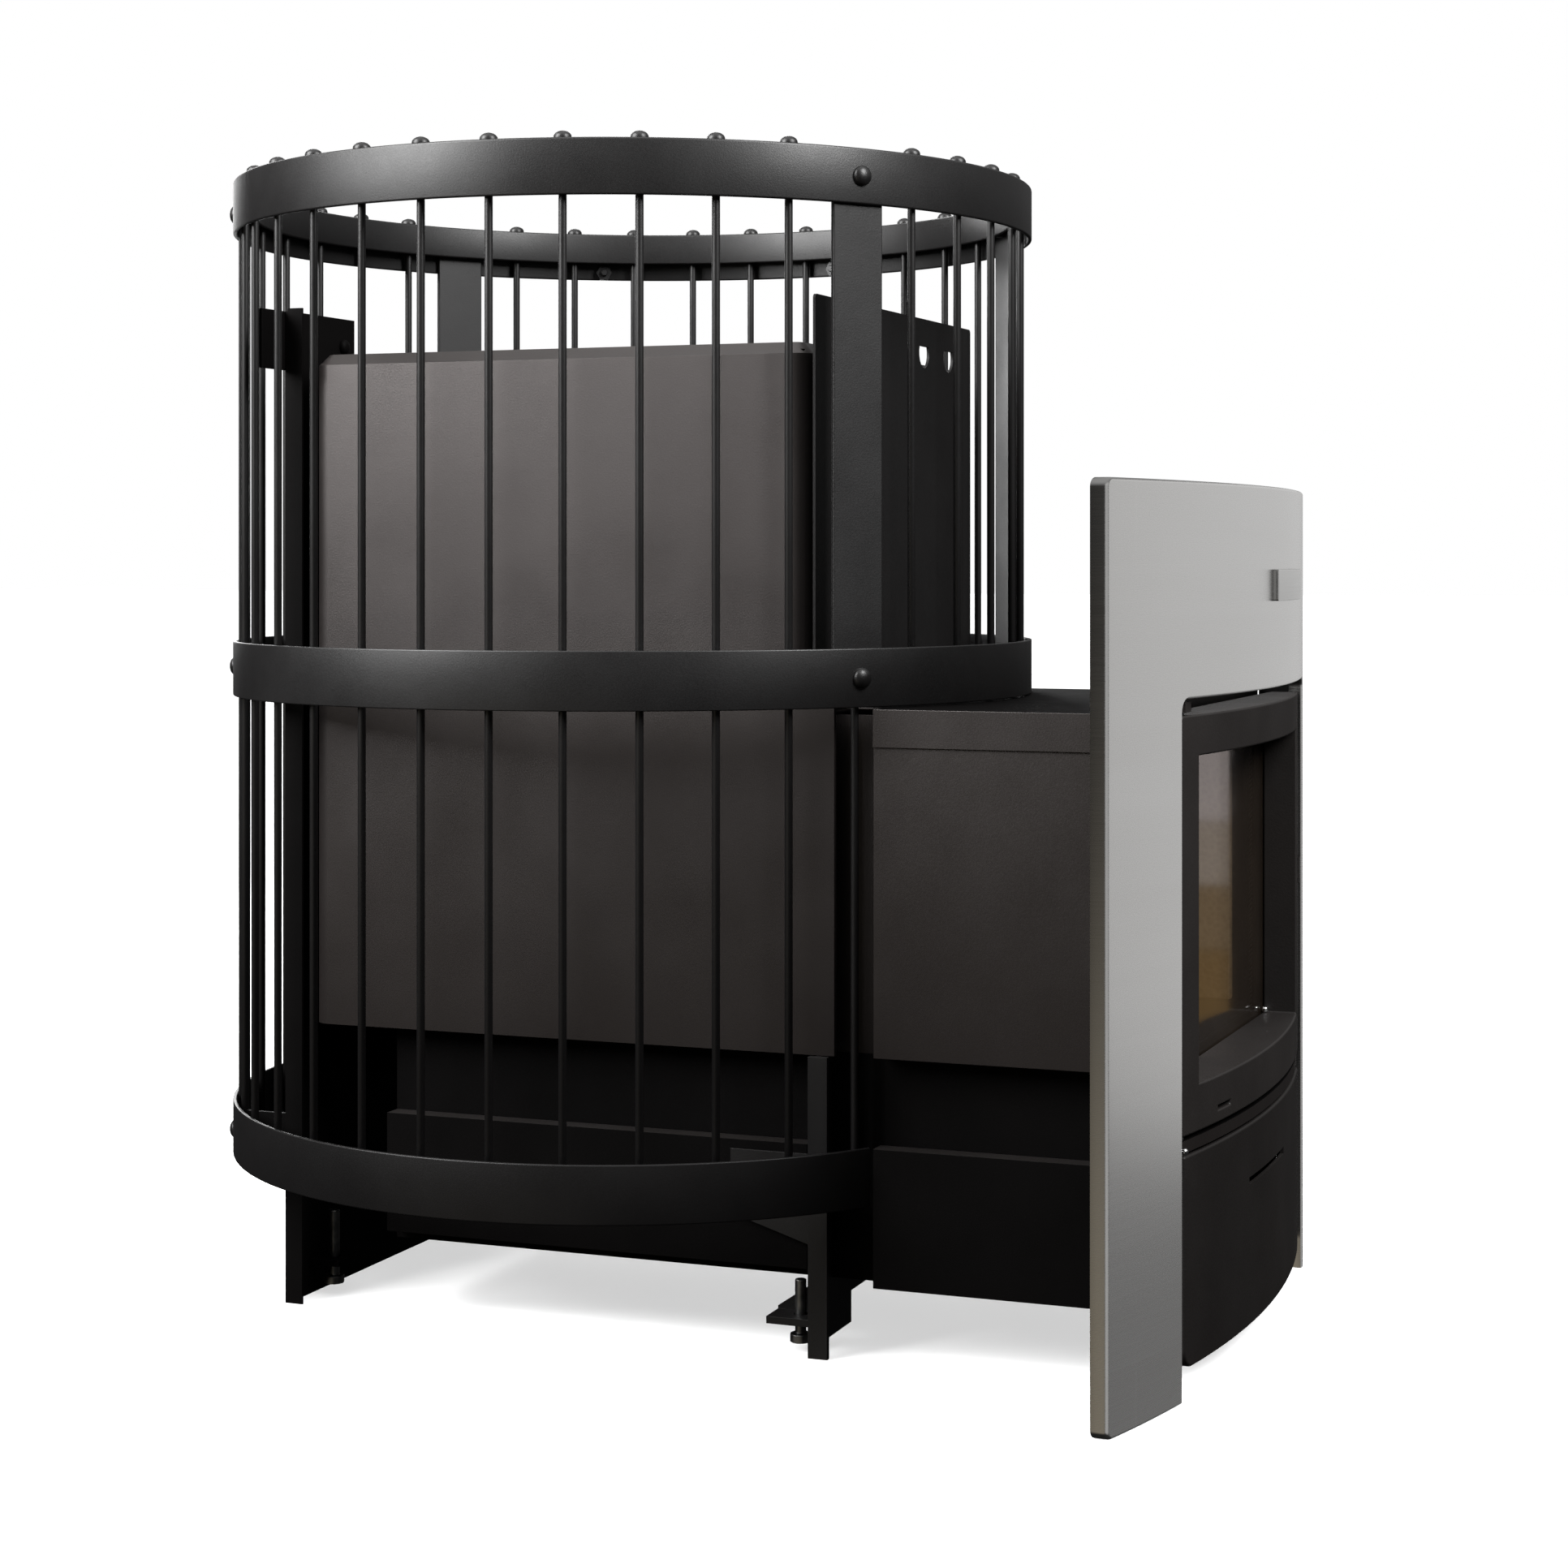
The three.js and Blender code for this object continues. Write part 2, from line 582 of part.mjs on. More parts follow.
function doorFrame() {
  const { apex, halfWidth, bottom, top, back } = DOOR;
  const casting = curvedSlab(apex, halfWidth, { back }, [bottom, top]);
  const cuts = joined(
    block([-WINDOW.x, WINDOW.x], [apex - 5, back + 5], [WINDOW.bottom, WINDOW.top]),
    post(HINGE.x, HINGE.y, HINGE.bore, [bottom - 1, top + 1]),
    block([-140, -45], [-462, -452], [172, 187]),
    block([-124, -96], [-492, -461], [176.5, 180.5]),
    block([-100, -62], [-453, back + 1], [174.5, 184.5]),
    solidOf(new THREE.CylinderGeometry(4.4, 4.4, 27, 12).rotateZ(Math.PI / 2).translate(171.5, -463, 305)),
  );
  return casting.subtract(cuts);
}

function airSlide() {
  const plate = block([-132, -55], [-458.5, -456], [172.4, 186.6]);
  const tab = block([-113, -107], [-474, -458], [177, 180]);
  return joined(plate, tab).subtract(block([-96, -66], [-460, -455], [175, 184]));
}

// Sheet frame behind the glass, rebated so that it holds the glass against the casting
function glassRetainer() {
  const front = GLASS.front;
  const back = front + GLASS.thick + 3.3;
  const frame = block([-178, 178], [front, back], [188, 436]);
  const rebate = block([-160.4, 160.4], [front - 1, front + GLASS.thick + GAP], [GLASS.bottom - 0.4, GLASS.top + 0.4]);
  const sight = block([-150, 150], [front - 1, back + 1], [WINDOW.bottom + 5, WINDOW.top - 5]);
  return frame.subtract(joined(rebate, sight));
}

function doorGasket() {
  const run = [-441.1, FRONT_PLATE.front - GAP];
  return block([-169, 169], run, [190, 434]).subtract(block([-163, 163], [-442, -435], [196, 428]));
}

function catchBolt() {
  return new THREE.CylinderGeometry(4, 4, 22.5, 12).rotateZ(Math.PI / 2).translate(173.25, -463, 305);
}

// Curved front with a grip slot, carrying the ash pan behind it
function ashDrawer() {
  const { apex, halfWidth, bottom, top, edge, sheet, corner } = DRAWER;
  const outline = roundedRectangle([-halfWidth, halfWidth], [bottom, top], corner);
  const face = curvedSlab(apex, halfWidth, { depth: edge }, [bottom, top + corner]);
  const pocket = curvedSlab(apex + sheet, halfWidth - sheet, { depth: edge + 4 }, [bottom + sheet, top - sheet]);
  const squareTop = block([-halfWidth, halfWidth], [apex - 5, apex + 60], [bottom + 2 * corner, top]);
  const cutter = joined(upright(outline, [apex - 5, apex + 60], 4), squareTop);
  const front = face.intersect(cutter).subtract(pocket).subtract(block([-56, 56], [-495, -470], [114, 120]));
  const pan = block([-140, 140], [-462, -110], [56, 135]);
  const panRoom = block([-138, 138], [-460, -112], [58, 136]);
  const links = blockPair([60, 100], [-480.5, -461], [60, 100]);
  return joined(front, pan.subtract(panRoom), links);
}

const front = groupOf(
  meshOf('front_surround', geometryOf(frontSurround()), brushedSteel()),
  meshOf('door_frame', geometryOf(doorFrame()), castIron()),
  meshOf('door_glass', blockGeometry(
    [-GLASS.x, GLASS.x],
    [GLASS.front + GAP, GLASS.front + GLASS.thick],
    [GLASS.bottom, GLASS.top],
  ), fireGlass()),
  meshOf('glass_retainer', geometryOf(glassRetainer()), castIron()),
  meshOf('door_gasket', geometryOf(doorGasket()), rope()),
  meshOf('door_hinge_pin', geometryOf(post(HINGE.x, HINGE.y, HINGE.pin, [LEDGE.bottom, FRONT_PLATE.top])), zincSteel()),
  meshOf('catch_bolt', catchBolt(), zincSteel()),
  meshOf('air_slide', geometryOf(airSlide()), zincSteel()),
  meshOf('ash_drawer', geometryOf(ashDrawer()), castIron()),
);

// ---------------------------------------------------------------- whole stove

const stove = groupOf(cage, firebox, base, front);
stove.position.y = -(PLAQUE.apex + CAGE_R) / 2;

export default groupOf(stove);
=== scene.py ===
"""Looks of the wood burning sauna stove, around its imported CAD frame. Metres, +Z up, door towards -Y."""

import math

import bmesh
import bpy
from mathutils import Matrix, Vector


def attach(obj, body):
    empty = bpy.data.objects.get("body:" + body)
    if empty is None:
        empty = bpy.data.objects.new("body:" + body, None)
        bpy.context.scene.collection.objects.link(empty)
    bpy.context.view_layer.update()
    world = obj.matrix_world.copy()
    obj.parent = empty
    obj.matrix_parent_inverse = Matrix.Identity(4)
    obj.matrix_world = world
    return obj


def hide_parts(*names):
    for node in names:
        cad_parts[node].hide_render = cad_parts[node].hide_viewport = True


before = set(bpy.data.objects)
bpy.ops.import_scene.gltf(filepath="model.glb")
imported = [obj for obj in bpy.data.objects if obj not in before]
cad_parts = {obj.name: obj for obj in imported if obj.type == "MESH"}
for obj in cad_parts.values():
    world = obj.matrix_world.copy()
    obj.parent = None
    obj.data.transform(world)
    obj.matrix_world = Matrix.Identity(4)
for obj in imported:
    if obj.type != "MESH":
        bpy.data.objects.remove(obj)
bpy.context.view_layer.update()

# ---------------- shared sizes, in millimetres from the cage axis

MM = 0.001
AXIS_Y = 97.5                 # the cage axis in the row frame
BODY = "stove_body"

CAGE_R = 300
BAND_THICK = 3                # of all three rings
TOP_RING = (782, 820)
MIDDLE_RING = (442, 482)
BOTTOM_RING = (104, 144)
BOTTOM_GAP_DEG = 33.7         # the bottom ring ends this far to each side of the tunnel
ROD_CIRCLE = 291.5
ROD_R = 2.75
ROD_HEAD_R = 6.2
ROD_FOOT = BOTTOM_RING[0] + 3.3
UPRIGHTS = {35: "front_right", 325: "front_left", 145: "rear_right", 205: "rear_left"}
UPRIGHT_R = (291.9, 295.9)    # inner and outer face of the flat bars
PLACES = [5 + 10 * i for i in range(36)]
LOWER_ROD_TOP = 466
TUNNEL_DEG = 30               # rods nearer to the front than this stand over the tunnel

ARC_R = 960                   # of the curved front
SURROUND = {"apex": -491, "half": 285, "top": 593, "opening_half": 190, "opening_top": 452}
DOOR = {"apex": -487, "half": 183, "low": 169, "high": 441, "back": -449}
WINDOW = {"half": 155, "low": 200, "high": 414}
DRAWER = {"apex": -487, "half": 178, "low": 18, "high": 156}


def at(x, y, z):
    """A point given from the cage axis in millimetres, in the row frame in metres."""
    return Vector((x * MM, (y + AXIS_Y) * MM, z * MM))


def arc_y(x, apex):
    """Where the curved front stands at x, for a face whose nearest point is at y = apex."""
    return apex + ARC_R - math.sqrt(ARC_R ** 2 - x * x)


# ---------------- materials

class Nodes:
    """A small writer of node materials."""

    def __init__(self, name):
        self.material = bpy.data.materials.new(name)
        self.material.use_nodes = True
        self.tree = self.material.node_tree
        self.shader = self.tree.nodes["Principled BSDF"]
        self.coords = self.node("ShaderNodeTexCoord").outputs["Object"]

    def node(self, kind, **settings):
        made = self.tree.nodes.new(kind)
        for key, value in settings.items():
            setattr(made, key, value)
        return made

    def link(self, output, target):
        self.tree.links.new(output, target)

    def stretched(self, scale):
        mapping = self.node("ShaderNodeMapping")
        self.link(self.coords, mapping.inputs["Vector"])
        mapping.inputs["Scale"].default_value = scale
        return mapping.outputs["Vector"]

    def noise(self, scale, detail=2.0, roughness=0.5, vector=None):
        made = self.node("ShaderNodeTexNoise")
        self.link(vector or self.coords, made.inputs["Vector"])
        made.inputs["Scale"].default_value = scale
        made.inputs["Detail"].default_value = detail
        made.inputs["Roughness"].default_value = roughness
        return made.outputs["Fac"]

    def spread(self, value, low, high, start=0.3, end=0.7):
        made = self.node("ShaderNodeMapRange")
        self.link(value, made.inputs["Value"])
        made.inputs["From Min"].default_value = start
        made.inputs["From Max"].default_value = end
        made.inputs["To Min"].default_value = low
        made.inputs["To Max"].default_value = high
        return made.outputs["Result"]

    def mixed(self, factor, first, second):
        made = self.node("ShaderNodeMix", data_type="RGBA")
        self.link(factor, made.inputs["Factor"])
        for socket, colour in ((made.inputs["A"], first), (made.inputs["B"], second)):
            if isinstance(colour, tuple):
                socket.default_value = (*colour, 1)
            else:
                self.link(colour, socket)
        return made.outputs["Result"]

    def math(self, operation, first, second):
        made = self.node("ShaderNodeMath", operation=operation)
        for socket, value in zip(made.inputs, (first, second)):
            if isinstance(value, (int, float)):
                socket.default_value = value
            else:
                self.link(value, socket)
        return made.outputs["Value"]

    def bump(self, height, strength, distance, under=None):
        made = self.node("ShaderNodeBump")
        self.link(height, made.inputs["Height"])
        made.inputs["Strength"].default_value = strength
        made.inputs["Distance"].default_value = distance
        if under is not None:
            self.link(under, made.inputs["Normal"])
        return made.outputs["Normal"]

    def finish(self, colour=None, roughness=None, normal=None, **fixed):
        if colour is not None:
            self.link(colour, self.shader.inputs["Base Color"])
        if roughness is not None:
            self.link(roughness, self.shader.inputs["Roughness"])
        if normal is not None:
            self.link(normal, self.shader.inputs["Normal"])
        for key, value in fixed.items():
            self.shader.inputs[key.replace("_", " ")].default_value = value
        return self.material


def coated(name, dark, light, roughness, grain=900, grain_depth=0.00012, specular=0.5, metallic=0.0,
           painted_shade_by_height=None, tint=(1.0, 1.0, 1.0)):
    """Powder coat or stove paint: fine orange peel, cloudy colour, and uneven sheen.

    dulled is (foot height, head height, share of the shine left at the foot): painted shade, a shine that
    fades towards the foot so lower parts look less lit. tint colours the shine.
    """
    n = Nodes(name)
    # Painted shade: the shine is full at the head height and falls to a share of it at the foot, so lower
    # parts look darker, as if less light reached them.
    if painted_shade_by_height:
        foot, head, share = painted_shade_by_height
        parts = n.node("ShaderNodeSeparateXYZ")
        n.link(n.coords, parts.inputs["Vector"])
        shine = n.spread(parts.outputs["Z"], specular * share, specular, foot, head)
        n.link(shine, n.shader.inputs["Specular IOR Level"])
    cloud = n.noise(6.0, 5.0, 0.6)
    speckle = n.noise(grain, 2.0)
    colour = n.mixed(n.spread(cloud, 0, 1), dark, light)
    cloudy_sheen = n.spread(n.noise(14.0, 4.0), *roughness)
    sheen = n.math("ADD", cloudy_sheen, n.spread(speckle, -0.03, 0.03))
    peel = n.bump(speckle, 0.5, grain_depth)
    wavy = n.bump(n.noise(55.0, 2.0), 0.12, 0.0006, under=peel)
    return n.finish(colour, sheen, wavy,
                    Specular_IOR_Level=specular, Specular_Tint=(*tint, 1), Metallic=metallic)


def brushed(name, dark, light, roughness, along):
    """Brushed stainless steel: long fine scratches that run across the sheet."""
    n = Nodes(name)
    scratches = n.noise(1.0, 3.0, 0.6, n.stretched(along))
    broad = n.noise(1.0, 2.0, 0.5, n.stretched((1.5, 1.5, 40)))
    cloud = n.noise(3.5, 3.0, 0.5)
    tone = n.math("ADD", n.math("MULTIPLY", scratches, 0.35), n.math("MULTIPLY", broad, 0.3))
    tone = n.math("ADD", tone, n.math("MULTIPLY", cloud, 0.35))
    colour = n.mixed(n.spread(tone, 0, 1, 0.35, 0.65), dark, light)
    rough = n.spread(scratches, *roughness)
    tangent = n.node("ShaderNodeTangent", direction_type="RADIAL", axis="Z")
    n.link(tangent.outputs["Tangent"], n.shader.inputs["Tangent"])
    return n.finish(colour, rough, n.bump(scratches, 0.01, 0.000003), Metallic=1.0, Anisotropic=0.5)


def plated(name, dark, light, roughness):
    """Zinc or chrome plate on small hardware."""
    n = Nodes(name)
    cloud = n.noise(120.0, 3.0)
    colour = n.mixed(n.spread(cloud, 0, 1), dark, light)
    rough = n.spread(n.noise(300.0, 2.0), *roughness)
    return n.finish(colour, rough, n.bump(cloud, 0.1, 0.0001), Metallic=1.0)


def fired_clay(name, dark, light):
    n = Nodes(name)
    grains = n.node("ShaderNodeTexVoronoi", feature="F1")
    n.link(n.coords, grains.inputs["Vector"])
    grains.inputs["Scale"].default_value = 260
    cloud = n.noise(9.0, 6.0, 0.65)
    specks = n.math("MULTIPLY", grains.outputs["Distance"], 0.5)
    tone = n.math("ADD", n.math("MULTIPLY", cloud, 0.7), specks)
    colour = n.mixed(n.spread(tone, 0, 1, 0.35, 0.8), dark, light)
    pits = n.bump(grains.outputs["Distance"], 0.5, 0.0006)
    return n.finish(colour, n.spread(cloud, 0.85, 0.98), pits)


def braided(name, dark, light):
    n = Nodes(name)
    wave = n.node("ShaderNodeTexWave", wave_type="BANDS", bands_direction="DIAGONAL")
    n.link(n.coords, wave.inputs["Vector"])
    wave.inputs["Scale"].default_value = 180
    wave.inputs["Distortion"].default_value = 2.0
    colour = n.mixed(n.spread(wave.outputs["Fac"], 0, 1, 0.2, 0.8), dark, light)
    return n.finish(colour, n.spread(n.noise(400.0), 0.85, 1.0), n.bump(wave.outputs["Fac"], 0.8, 0.0008))


def smoked_glass(name):
    """Ceramic fire glass with a little soot and haze on it."""
    n = Nodes(name)
    haze = n.noise(7.0, 5.0, 0.6)
    colour = n.mixed(n.spread(haze, 0, 1), (0.018, 0.013, 0.010), (0.04, 0.03, 0.022))
    rough = n.spread(n.noise(20.0, 4.0), 0.06, 0.12)
    ripple = n.bump(n.noise(4.0, 1.0), 0.03, 0.001)
    return n.finish(colour, rough, ripple, Alpha=0.5, IOR=1.6, Specular_IOR_Level=1.0)


BLACK_TONES = (0.0040, 0.0037, 0.0038), (0.0072, 0.0067, 0.0068)
# The cage's black coat carries painted shade: its shine fades from the middle ring down to the bottom ring.
BLACK = coated("black_powder_coat", *BLACK_TONES, (0.39, 0.47), specular=0.54, painted_shade_by_height=(0.10, 0.46, 0.42))
BOLT_BLACK = coated("black_bolt_paint", *BLACK_TONES, (0.36, 0.44))
# A deep, low-sheen black paint. On the firebox and tunnel tops, and on the base, it also serves as painted
# shade.
DEEP_BLACK = coated("black_stove_paint", (0.0014, 0.0012, 0.0012), (0.0030, 0.0026, 0.0026), (0.55, 0.66),
              specular=0.05)
# The grey stove paint carries painted shade: its shine fades from 0.42 m down to 0.20 m, so the firebox wall
# below the middle ring looks darker.
GREY = coated("grey_stove_paint", (0.0120, 0.0101, 0.0096), (0.0168, 0.0144, 0.0136), (0.35, 0.43),
              specular=0.76, painted_shade_by_height=(0.20, 0.42, 0.25), tint=(1.0, 0.93, 0.915))
SHADE = coated("shield_paint", (0.0040, 0.0036, 0.0036), (0.0070, 0.0063, 0.0062), (0.45, 0.55),
               specular=0.35)
DRAWER_IRON = coated("drawer_iron_paint", (0.0085, 0.0072, 0.0068), (0.013, 0.0110, 0.0102), (0.48, 0.60),
                     grain=620, grain_depth=0.0002, specular=0.3)
IRON = coated("cast_iron_paint", (0.012, 0.0102, 0.0096), (0.019, 0.0162, 0.0150), (0.46, 0.58),
              grain=620, grain_depth=0.0002, specular=0.4)
BARE_IRON = coated("bare_cast_iron", (0.030, 0.028, 0.027), (0.055, 0.048, 0.043), (0.6, 0.75),
                   grain=420, grain_depth=0.0004, specular=0.5, metallic=0.6)
BRUSHED_ALONG = (5, 5, 1800)
STEEL = brushed("brushed_stainless", (0.59, 0.582, 0.57), (0.635, 0.629, 0.62), (0.26, 0.29), BRUSHED_ALONG)
BADGE = brushed("badge_stainless", (0.40, 0.395, 0.385), (0.50, 0.495, 0.485), (0.20, 0.28), BRUSHED_ALONG)
CHROME = plated("bright_chrome", (0.75, 0.75, 0.75), (0.9, 0.9, 0.9), (0.08, 0.16))
ZINC = plated("zinc_plate", (0.36, 0.36, 0.36), (0.55, 0.55, 0.54), (0.28, 0.42))
DULL_ZINC = plated("dull_zinc", (0.16, 0.16, 0.16), (0.30, 0.30, 0.29), (0.3, 0.45))
BRICK = fired_clay("fired_clay", (0.40, 0.25, 0.12), (0.66, 0.46, 0.25))
ROPE = braided("ceramic_rope", (0.16, 0.15, 0.14), (0.42, 0.40, 0.37))
GLASS = smoked_glass("fire_glass")

# ---------------- building pieces

def mesh_from(bm, name):
    """A mesh made from a bmesh, which is used up."""
    mesh = bpy.data.meshes.new(name)
    bm.to_mesh(mesh)
    bm.free()
    return mesh


def shaded(mesh, sharp_deg=180):
    """Smooth shading, with a crease wherever faces meet at more than sharp_deg."""
    mesh.polygons.foreach_set("use_smooth", [True] * len(mesh.polygons))
    if sharp_deg < 180:
        mesh.set_sharp_from_angle(angle=math.radians(sharp_deg))
    return mesh


def settle(name, bm, material, sharp_deg=32, body=BODY, stands_for=(), slot=None, merge=1e-6):
    """Turns a bmesh into a named piece that rides on a CAD body."""
    bmesh.ops.remove_doubles(bm, verts=bm.verts, dist=merge)
    bmesh.ops.recalc_face_normals(bm, faces=bm.faces)
    mesh = shaded(mesh_from(bm, name), sharp_deg)
    mesh.materials.append(material)
    obj = bpy.data.objects.new(name, mesh)
    bpy.context.scene.collection.objects.link(obj)
    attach(obj, body)
    if stands_for:
        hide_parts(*stands_for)
    return obj


def softened(obj, width, segments=2):
    """Rounds the sharp edges of a piece by width, in millimetres, and keeps its flats flat."""
    bevel = obj.modifiers.new("edges", "BEVEL")
    bevel.limit_method = "ANGLE"
    bevel.angle_limit = math.radians(30)
    bevel.width = width * MM
    bevel.segments = segments
    bevel.use_clamp_overlap = True
    bevel.harden_normals = False
    flat_normals(obj, 80)


def flat_normals(obj, weight=50):
    """Lets the large faces of a piece set the shading at its edges."""
    normals = obj.modifiers.new("flats", "WEIGHTED_NORMAL")
    normals.keep_sharp = True
    normals.weight = weight


def turned(profile, steps, start=0.0, end=360.0):
    """A bmesh of a closed [radius, z] outline swept round the cage axis, angles from -Y towards +X."""
    bm = bmesh.new()
    whole = abs(end - start) >= 360
    count = steps if whole else steps + 1
    rings = []
    for i in range(count):
        a = math.radians(start + (end - start) * i / steps)
        rings.append([bm.verts.new(at(r * math.sin(a), -r * math.cos(a), z)) for r, z in profile])
    n = len(profile)
    for i in range(steps):
        here, there = rings[i], rings[(i + 1) % count]
        for k in range(n):
            bm.faces.new((here[k], there[k], there[(k + 1) % n], here[(k + 1) % n]))
    if not whole:
        bm.faces.new(rings[0])
        bm.faces.new(rings[-1][::-1])
    return bm


def rounded_outline(points, radius, steps=3):
    """A closed 2-D outline with each corner cut round."""
    out = []
    count = len(points)
    for i in range(count):
        p, q, r = (Vector(points[(i + k) % count]) for k in (-1, 0, 1))
        a, b = (p - q), (r - q)
        reach = min(radius, a.length * 0.45, b.length * 0.45)
        a.normalize()
        b.normalize()
        for k in range(steps + 1):
            t = k / steps
            first, last = q + a * reach, q + b * reach
            out.append(tuple((1 - t) ** 2 * first + 2 * t * (1 - t) * q + t * t * last))
    return out


def block(x, y, z):
    """A bmesh block from pairs of low and high faces, in millimetres from the cage axis."""
    bm = bmesh.new()
    corners = [bm.verts.new(at(a, b, c)) for a in x for b in y for c in z]
    for quad in ((0, 1, 3, 2), (4, 6, 7, 5), (0, 4, 5, 1), (2, 3, 7, 6), (0, 2, 6, 4), (1, 5, 7, 3)):
        bm.faces.new([corners[i] for i in quad])
    bmesh.ops.recalc_face_normals(bm, faces=bm.faces)
    return bm


def spun(profile, sides=24):
    """A bmesh turned about its own +Z from a [radius, z] line from axis to axis, in millimetres."""
    bm = bmesh.new()
    rings = []
    turns = [2 * math.pi * i / sides for i in range(sides)]
    for r, z in profile:
        on_axis = [(0, 0, z * MM)]
        points = [(r * MM * math.cos(a), r * MM * math.sin(a), z * MM) for a in turns] if r else on_axis
        rings.append([bm.verts.new(point) for point in points])
    for low, high in zip(rings, rings[1:]):
        for i in range(sides):
            j = (i + 1) % sides
            quad = [low[i % len(low)], low[j % len(low)], high[j % len(high)], high[i % len(high)]]
            unique = []
            for v in quad:
                if v not in unique:
                    unique.append(v)
            bm.faces.new(unique)
    bmesh.ops.recalc_face_normals(bm, faces=bm.faces)
    return bm


def dome(radius, height, base, steps=5):
    """[radius, z] points of a domed head from its rim to its middle."""
    return [(radius * math.cos(math.pi / 2 * k / steps), base + height * math.sin(math.pi / 2 * k / steps))
            for k in range(steps)] + [(0, base + height)]


def cut(obj, *cutters):
    """Takes each cutter bmesh out of a piece, and applies the result."""
    for number, bm in enumerate(cutters):
        cutter = bpy.data.objects.new(f"cutter_{number}", mesh_from(bm, "cutter"))
        bpy.context.scene.collection.objects.link(cutter)
        boolean = obj.modifiers.new("cut", "BOOLEAN")
        boolean.operation = "DIFFERENCE"
        boolean.solver = "EXACT"
        boolean.object = cutter
        apply_modifiers(obj)
        bpy.data.objects.remove(cutter)


def apply_modifiers(obj):
    """Keeps what the piece's modifiers make of its mesh, and drops them."""
    graph = bpy.context.evaluated_depsgraph_get()
    graph.update()
    mesh = bpy.data.meshes.new_from_object(obj.evaluated_get(graph))
    obj.modifiers.clear()
    obj.data = mesh


def pinned(mesh, name, direction, point, material, body=BODY):
    """Places a spun mesh with its +Z along direction and its origin at point."""
    obj = bpy.data.objects.new(name, mesh)
    bpy.context.scene.collection.objects.link(obj)
    turn = Vector(direction).to_track_quat("Z", "Y").to_matrix().to_4x4()
    obj.matrix_world = Matrix.Translation(point) @ turn
    if not mesh.materials:
        mesh.materials.append(material)
    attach(obj, body)


# ---------------- cage

RING_STEPS = 180


def ring_piece(name, profile, round_off, replaced, start=0.0, end=360.0):
    """A ring of the cage from its [radius, z] outline, in place of the CAD ring."""
    ring = turned(rounded_outline(profile, round_off), RING_STEPS, start, end)
    settle(name, ring, BLACK, 40, stands_for=[replaced], slot="black_coat")


def cage_rings():
    """A top channel with a short inner web, a flat middle band, and a bottom band with a lip."""
    band = CAGE_R - BAND_THICK
    low, high = TOP_RING
    flange = high - BAND_THICK
    channel = [(CAGE_R, low), (CAGE_R, high), (283, high), (283, 795),
               (286, 795), (286, flange), (band, flange), (band, low)]
    ring_piece("top_ring_channel", channel, 1.6, "top_ring")

    low, high = MIDDLE_RING
    flat_band = [(CAGE_R, low), (CAGE_R, high), (band, high), (band, low)]
    ring_piece("middle_ring_band", flat_band, 0.9, "middle_ring")

    low, high = BOTTOM_RING
    lip = low + BAND_THICK
    lipped = [(CAGE_R, low), (CAGE_R, high), (band, high), (band, lip), (284, lip), (284, low)]
    ring_piece("bottom_ring_band", lipped, 1.0, "bottom_ring", BOTTOM_GAP_DEG, 360 - BOTTOM_GAP_DEG)


def rod_mesh(name, foot):
    """A rod with its domed head on the top ring's flange. Its origin is on its own axis, at the floor."""
    seat = TOP_RING[1] + 0.2
    rim = seat + 0.8
    profile = [(0, foot), (ROD_R - 0.4, foot), (ROD_R, foot + 0.6), (ROD_R, seat), (ROD_HEAD_R, seat)]
    profile += dome(ROD_HEAD_R, 4.3, rim)
    mesh = shaded(mesh_from(spun(profile, 20), name), 40)
    mesh.materials.append(BLACK)
    return mesh


def off_front(place_deg):
    """How far a place round the cage is from the front, to either side."""
    return min(place_deg, 360 - place_deg)


def stand_rod(name, mesh, place_deg, stands_for=()):
    """Stands a rod at a place on the rod circle, in degrees from the front towards +X."""
    a = math.radians(place_deg)
    obj = bpy.data.objects.new(name, mesh)
    bpy.context.scene.collection.objects.link(obj)
    foot = at(ROD_CIRCLE * math.sin(a), -ROD_CIRCLE * math.cos(a), 0)
    obj.matrix_world = Matrix.Translation(foot) @ Matrix.Rotation(a, 4, "Z")
    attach(obj, BODY)
    if stands_for:
        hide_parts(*stands_for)


def cage_rods():
    """Long rods all round, short ones over the tunnel, and a lower rod under each front upright."""
    long_mesh = rod_mesh("long_rod", ROD_FOOT)
    short_mesh = rod_mesh("short_rod", MIDDLE_RING[0] + 1)
    lower_line = [(0, ROD_FOOT), (ROD_R, ROD_FOOT), (ROD_R, LOWER_ROD_TOP), (0, LOWER_ROD_TOP)]
    lower = shaded(mesh_from(spun(lower_line, 20), "lower_rod"), 40)
    lower.materials.append(BLACK)
    number = 0
    for deg in PLACES:
        if deg in UPRIGHTS:
            if off_front(deg) < 90:
                stand_rod(f"lower_rod_{UPRIGHTS[deg]}", lower, deg)
            continue
        if off_front(deg) < TUNNEL_DEG:
            stand_rod(f"short_rod_{deg:03d}", short_mesh, deg)
        else:
            number += 1
            stand_rod(f"long_rod_{number:02d}", long_mesh, deg, [f"cage_rod_{number:02d}"])


def weld_bead(name, deg, foot, head):
    """A narrow rippled weld between a rod and the band behind it."""
    bm = bmesh.new()
    a = math.radians(deg)
    steps, sides = 14, 8
    rings = []
    for i in range(steps + 1):
        z = foot + (head - foot) * i / steps
        half_width = 1.8 + 0.3 * math.sin(i * 2.4)
        ring = []
        for k in range(sides):
            b = 2 * math.pi * k / sides
            r = ROD_CIRCLE + 4.1 + 1.7 * math.cos(b)
            t = half_width * math.sin(b)
            x, y = r * math.sin(a) + t * math.cos(a), -r * math.cos(a) + t * math.sin(a)
            ring.append(bm.verts.new(at(x, y, z)))
        rings.append(ring)
    for low, high in zip(rings, rings[1:]):
        for k in range(sides):
            bm.faces.new((low[k], low[(k + 1) % sides], high[(k + 1) % sides], high[k]))
    bm.faces.new(rings[0])
    bm.faces.new(rings[-1][::-1])
    settle(name, bm, BLACK, 50, slot="black_coat")


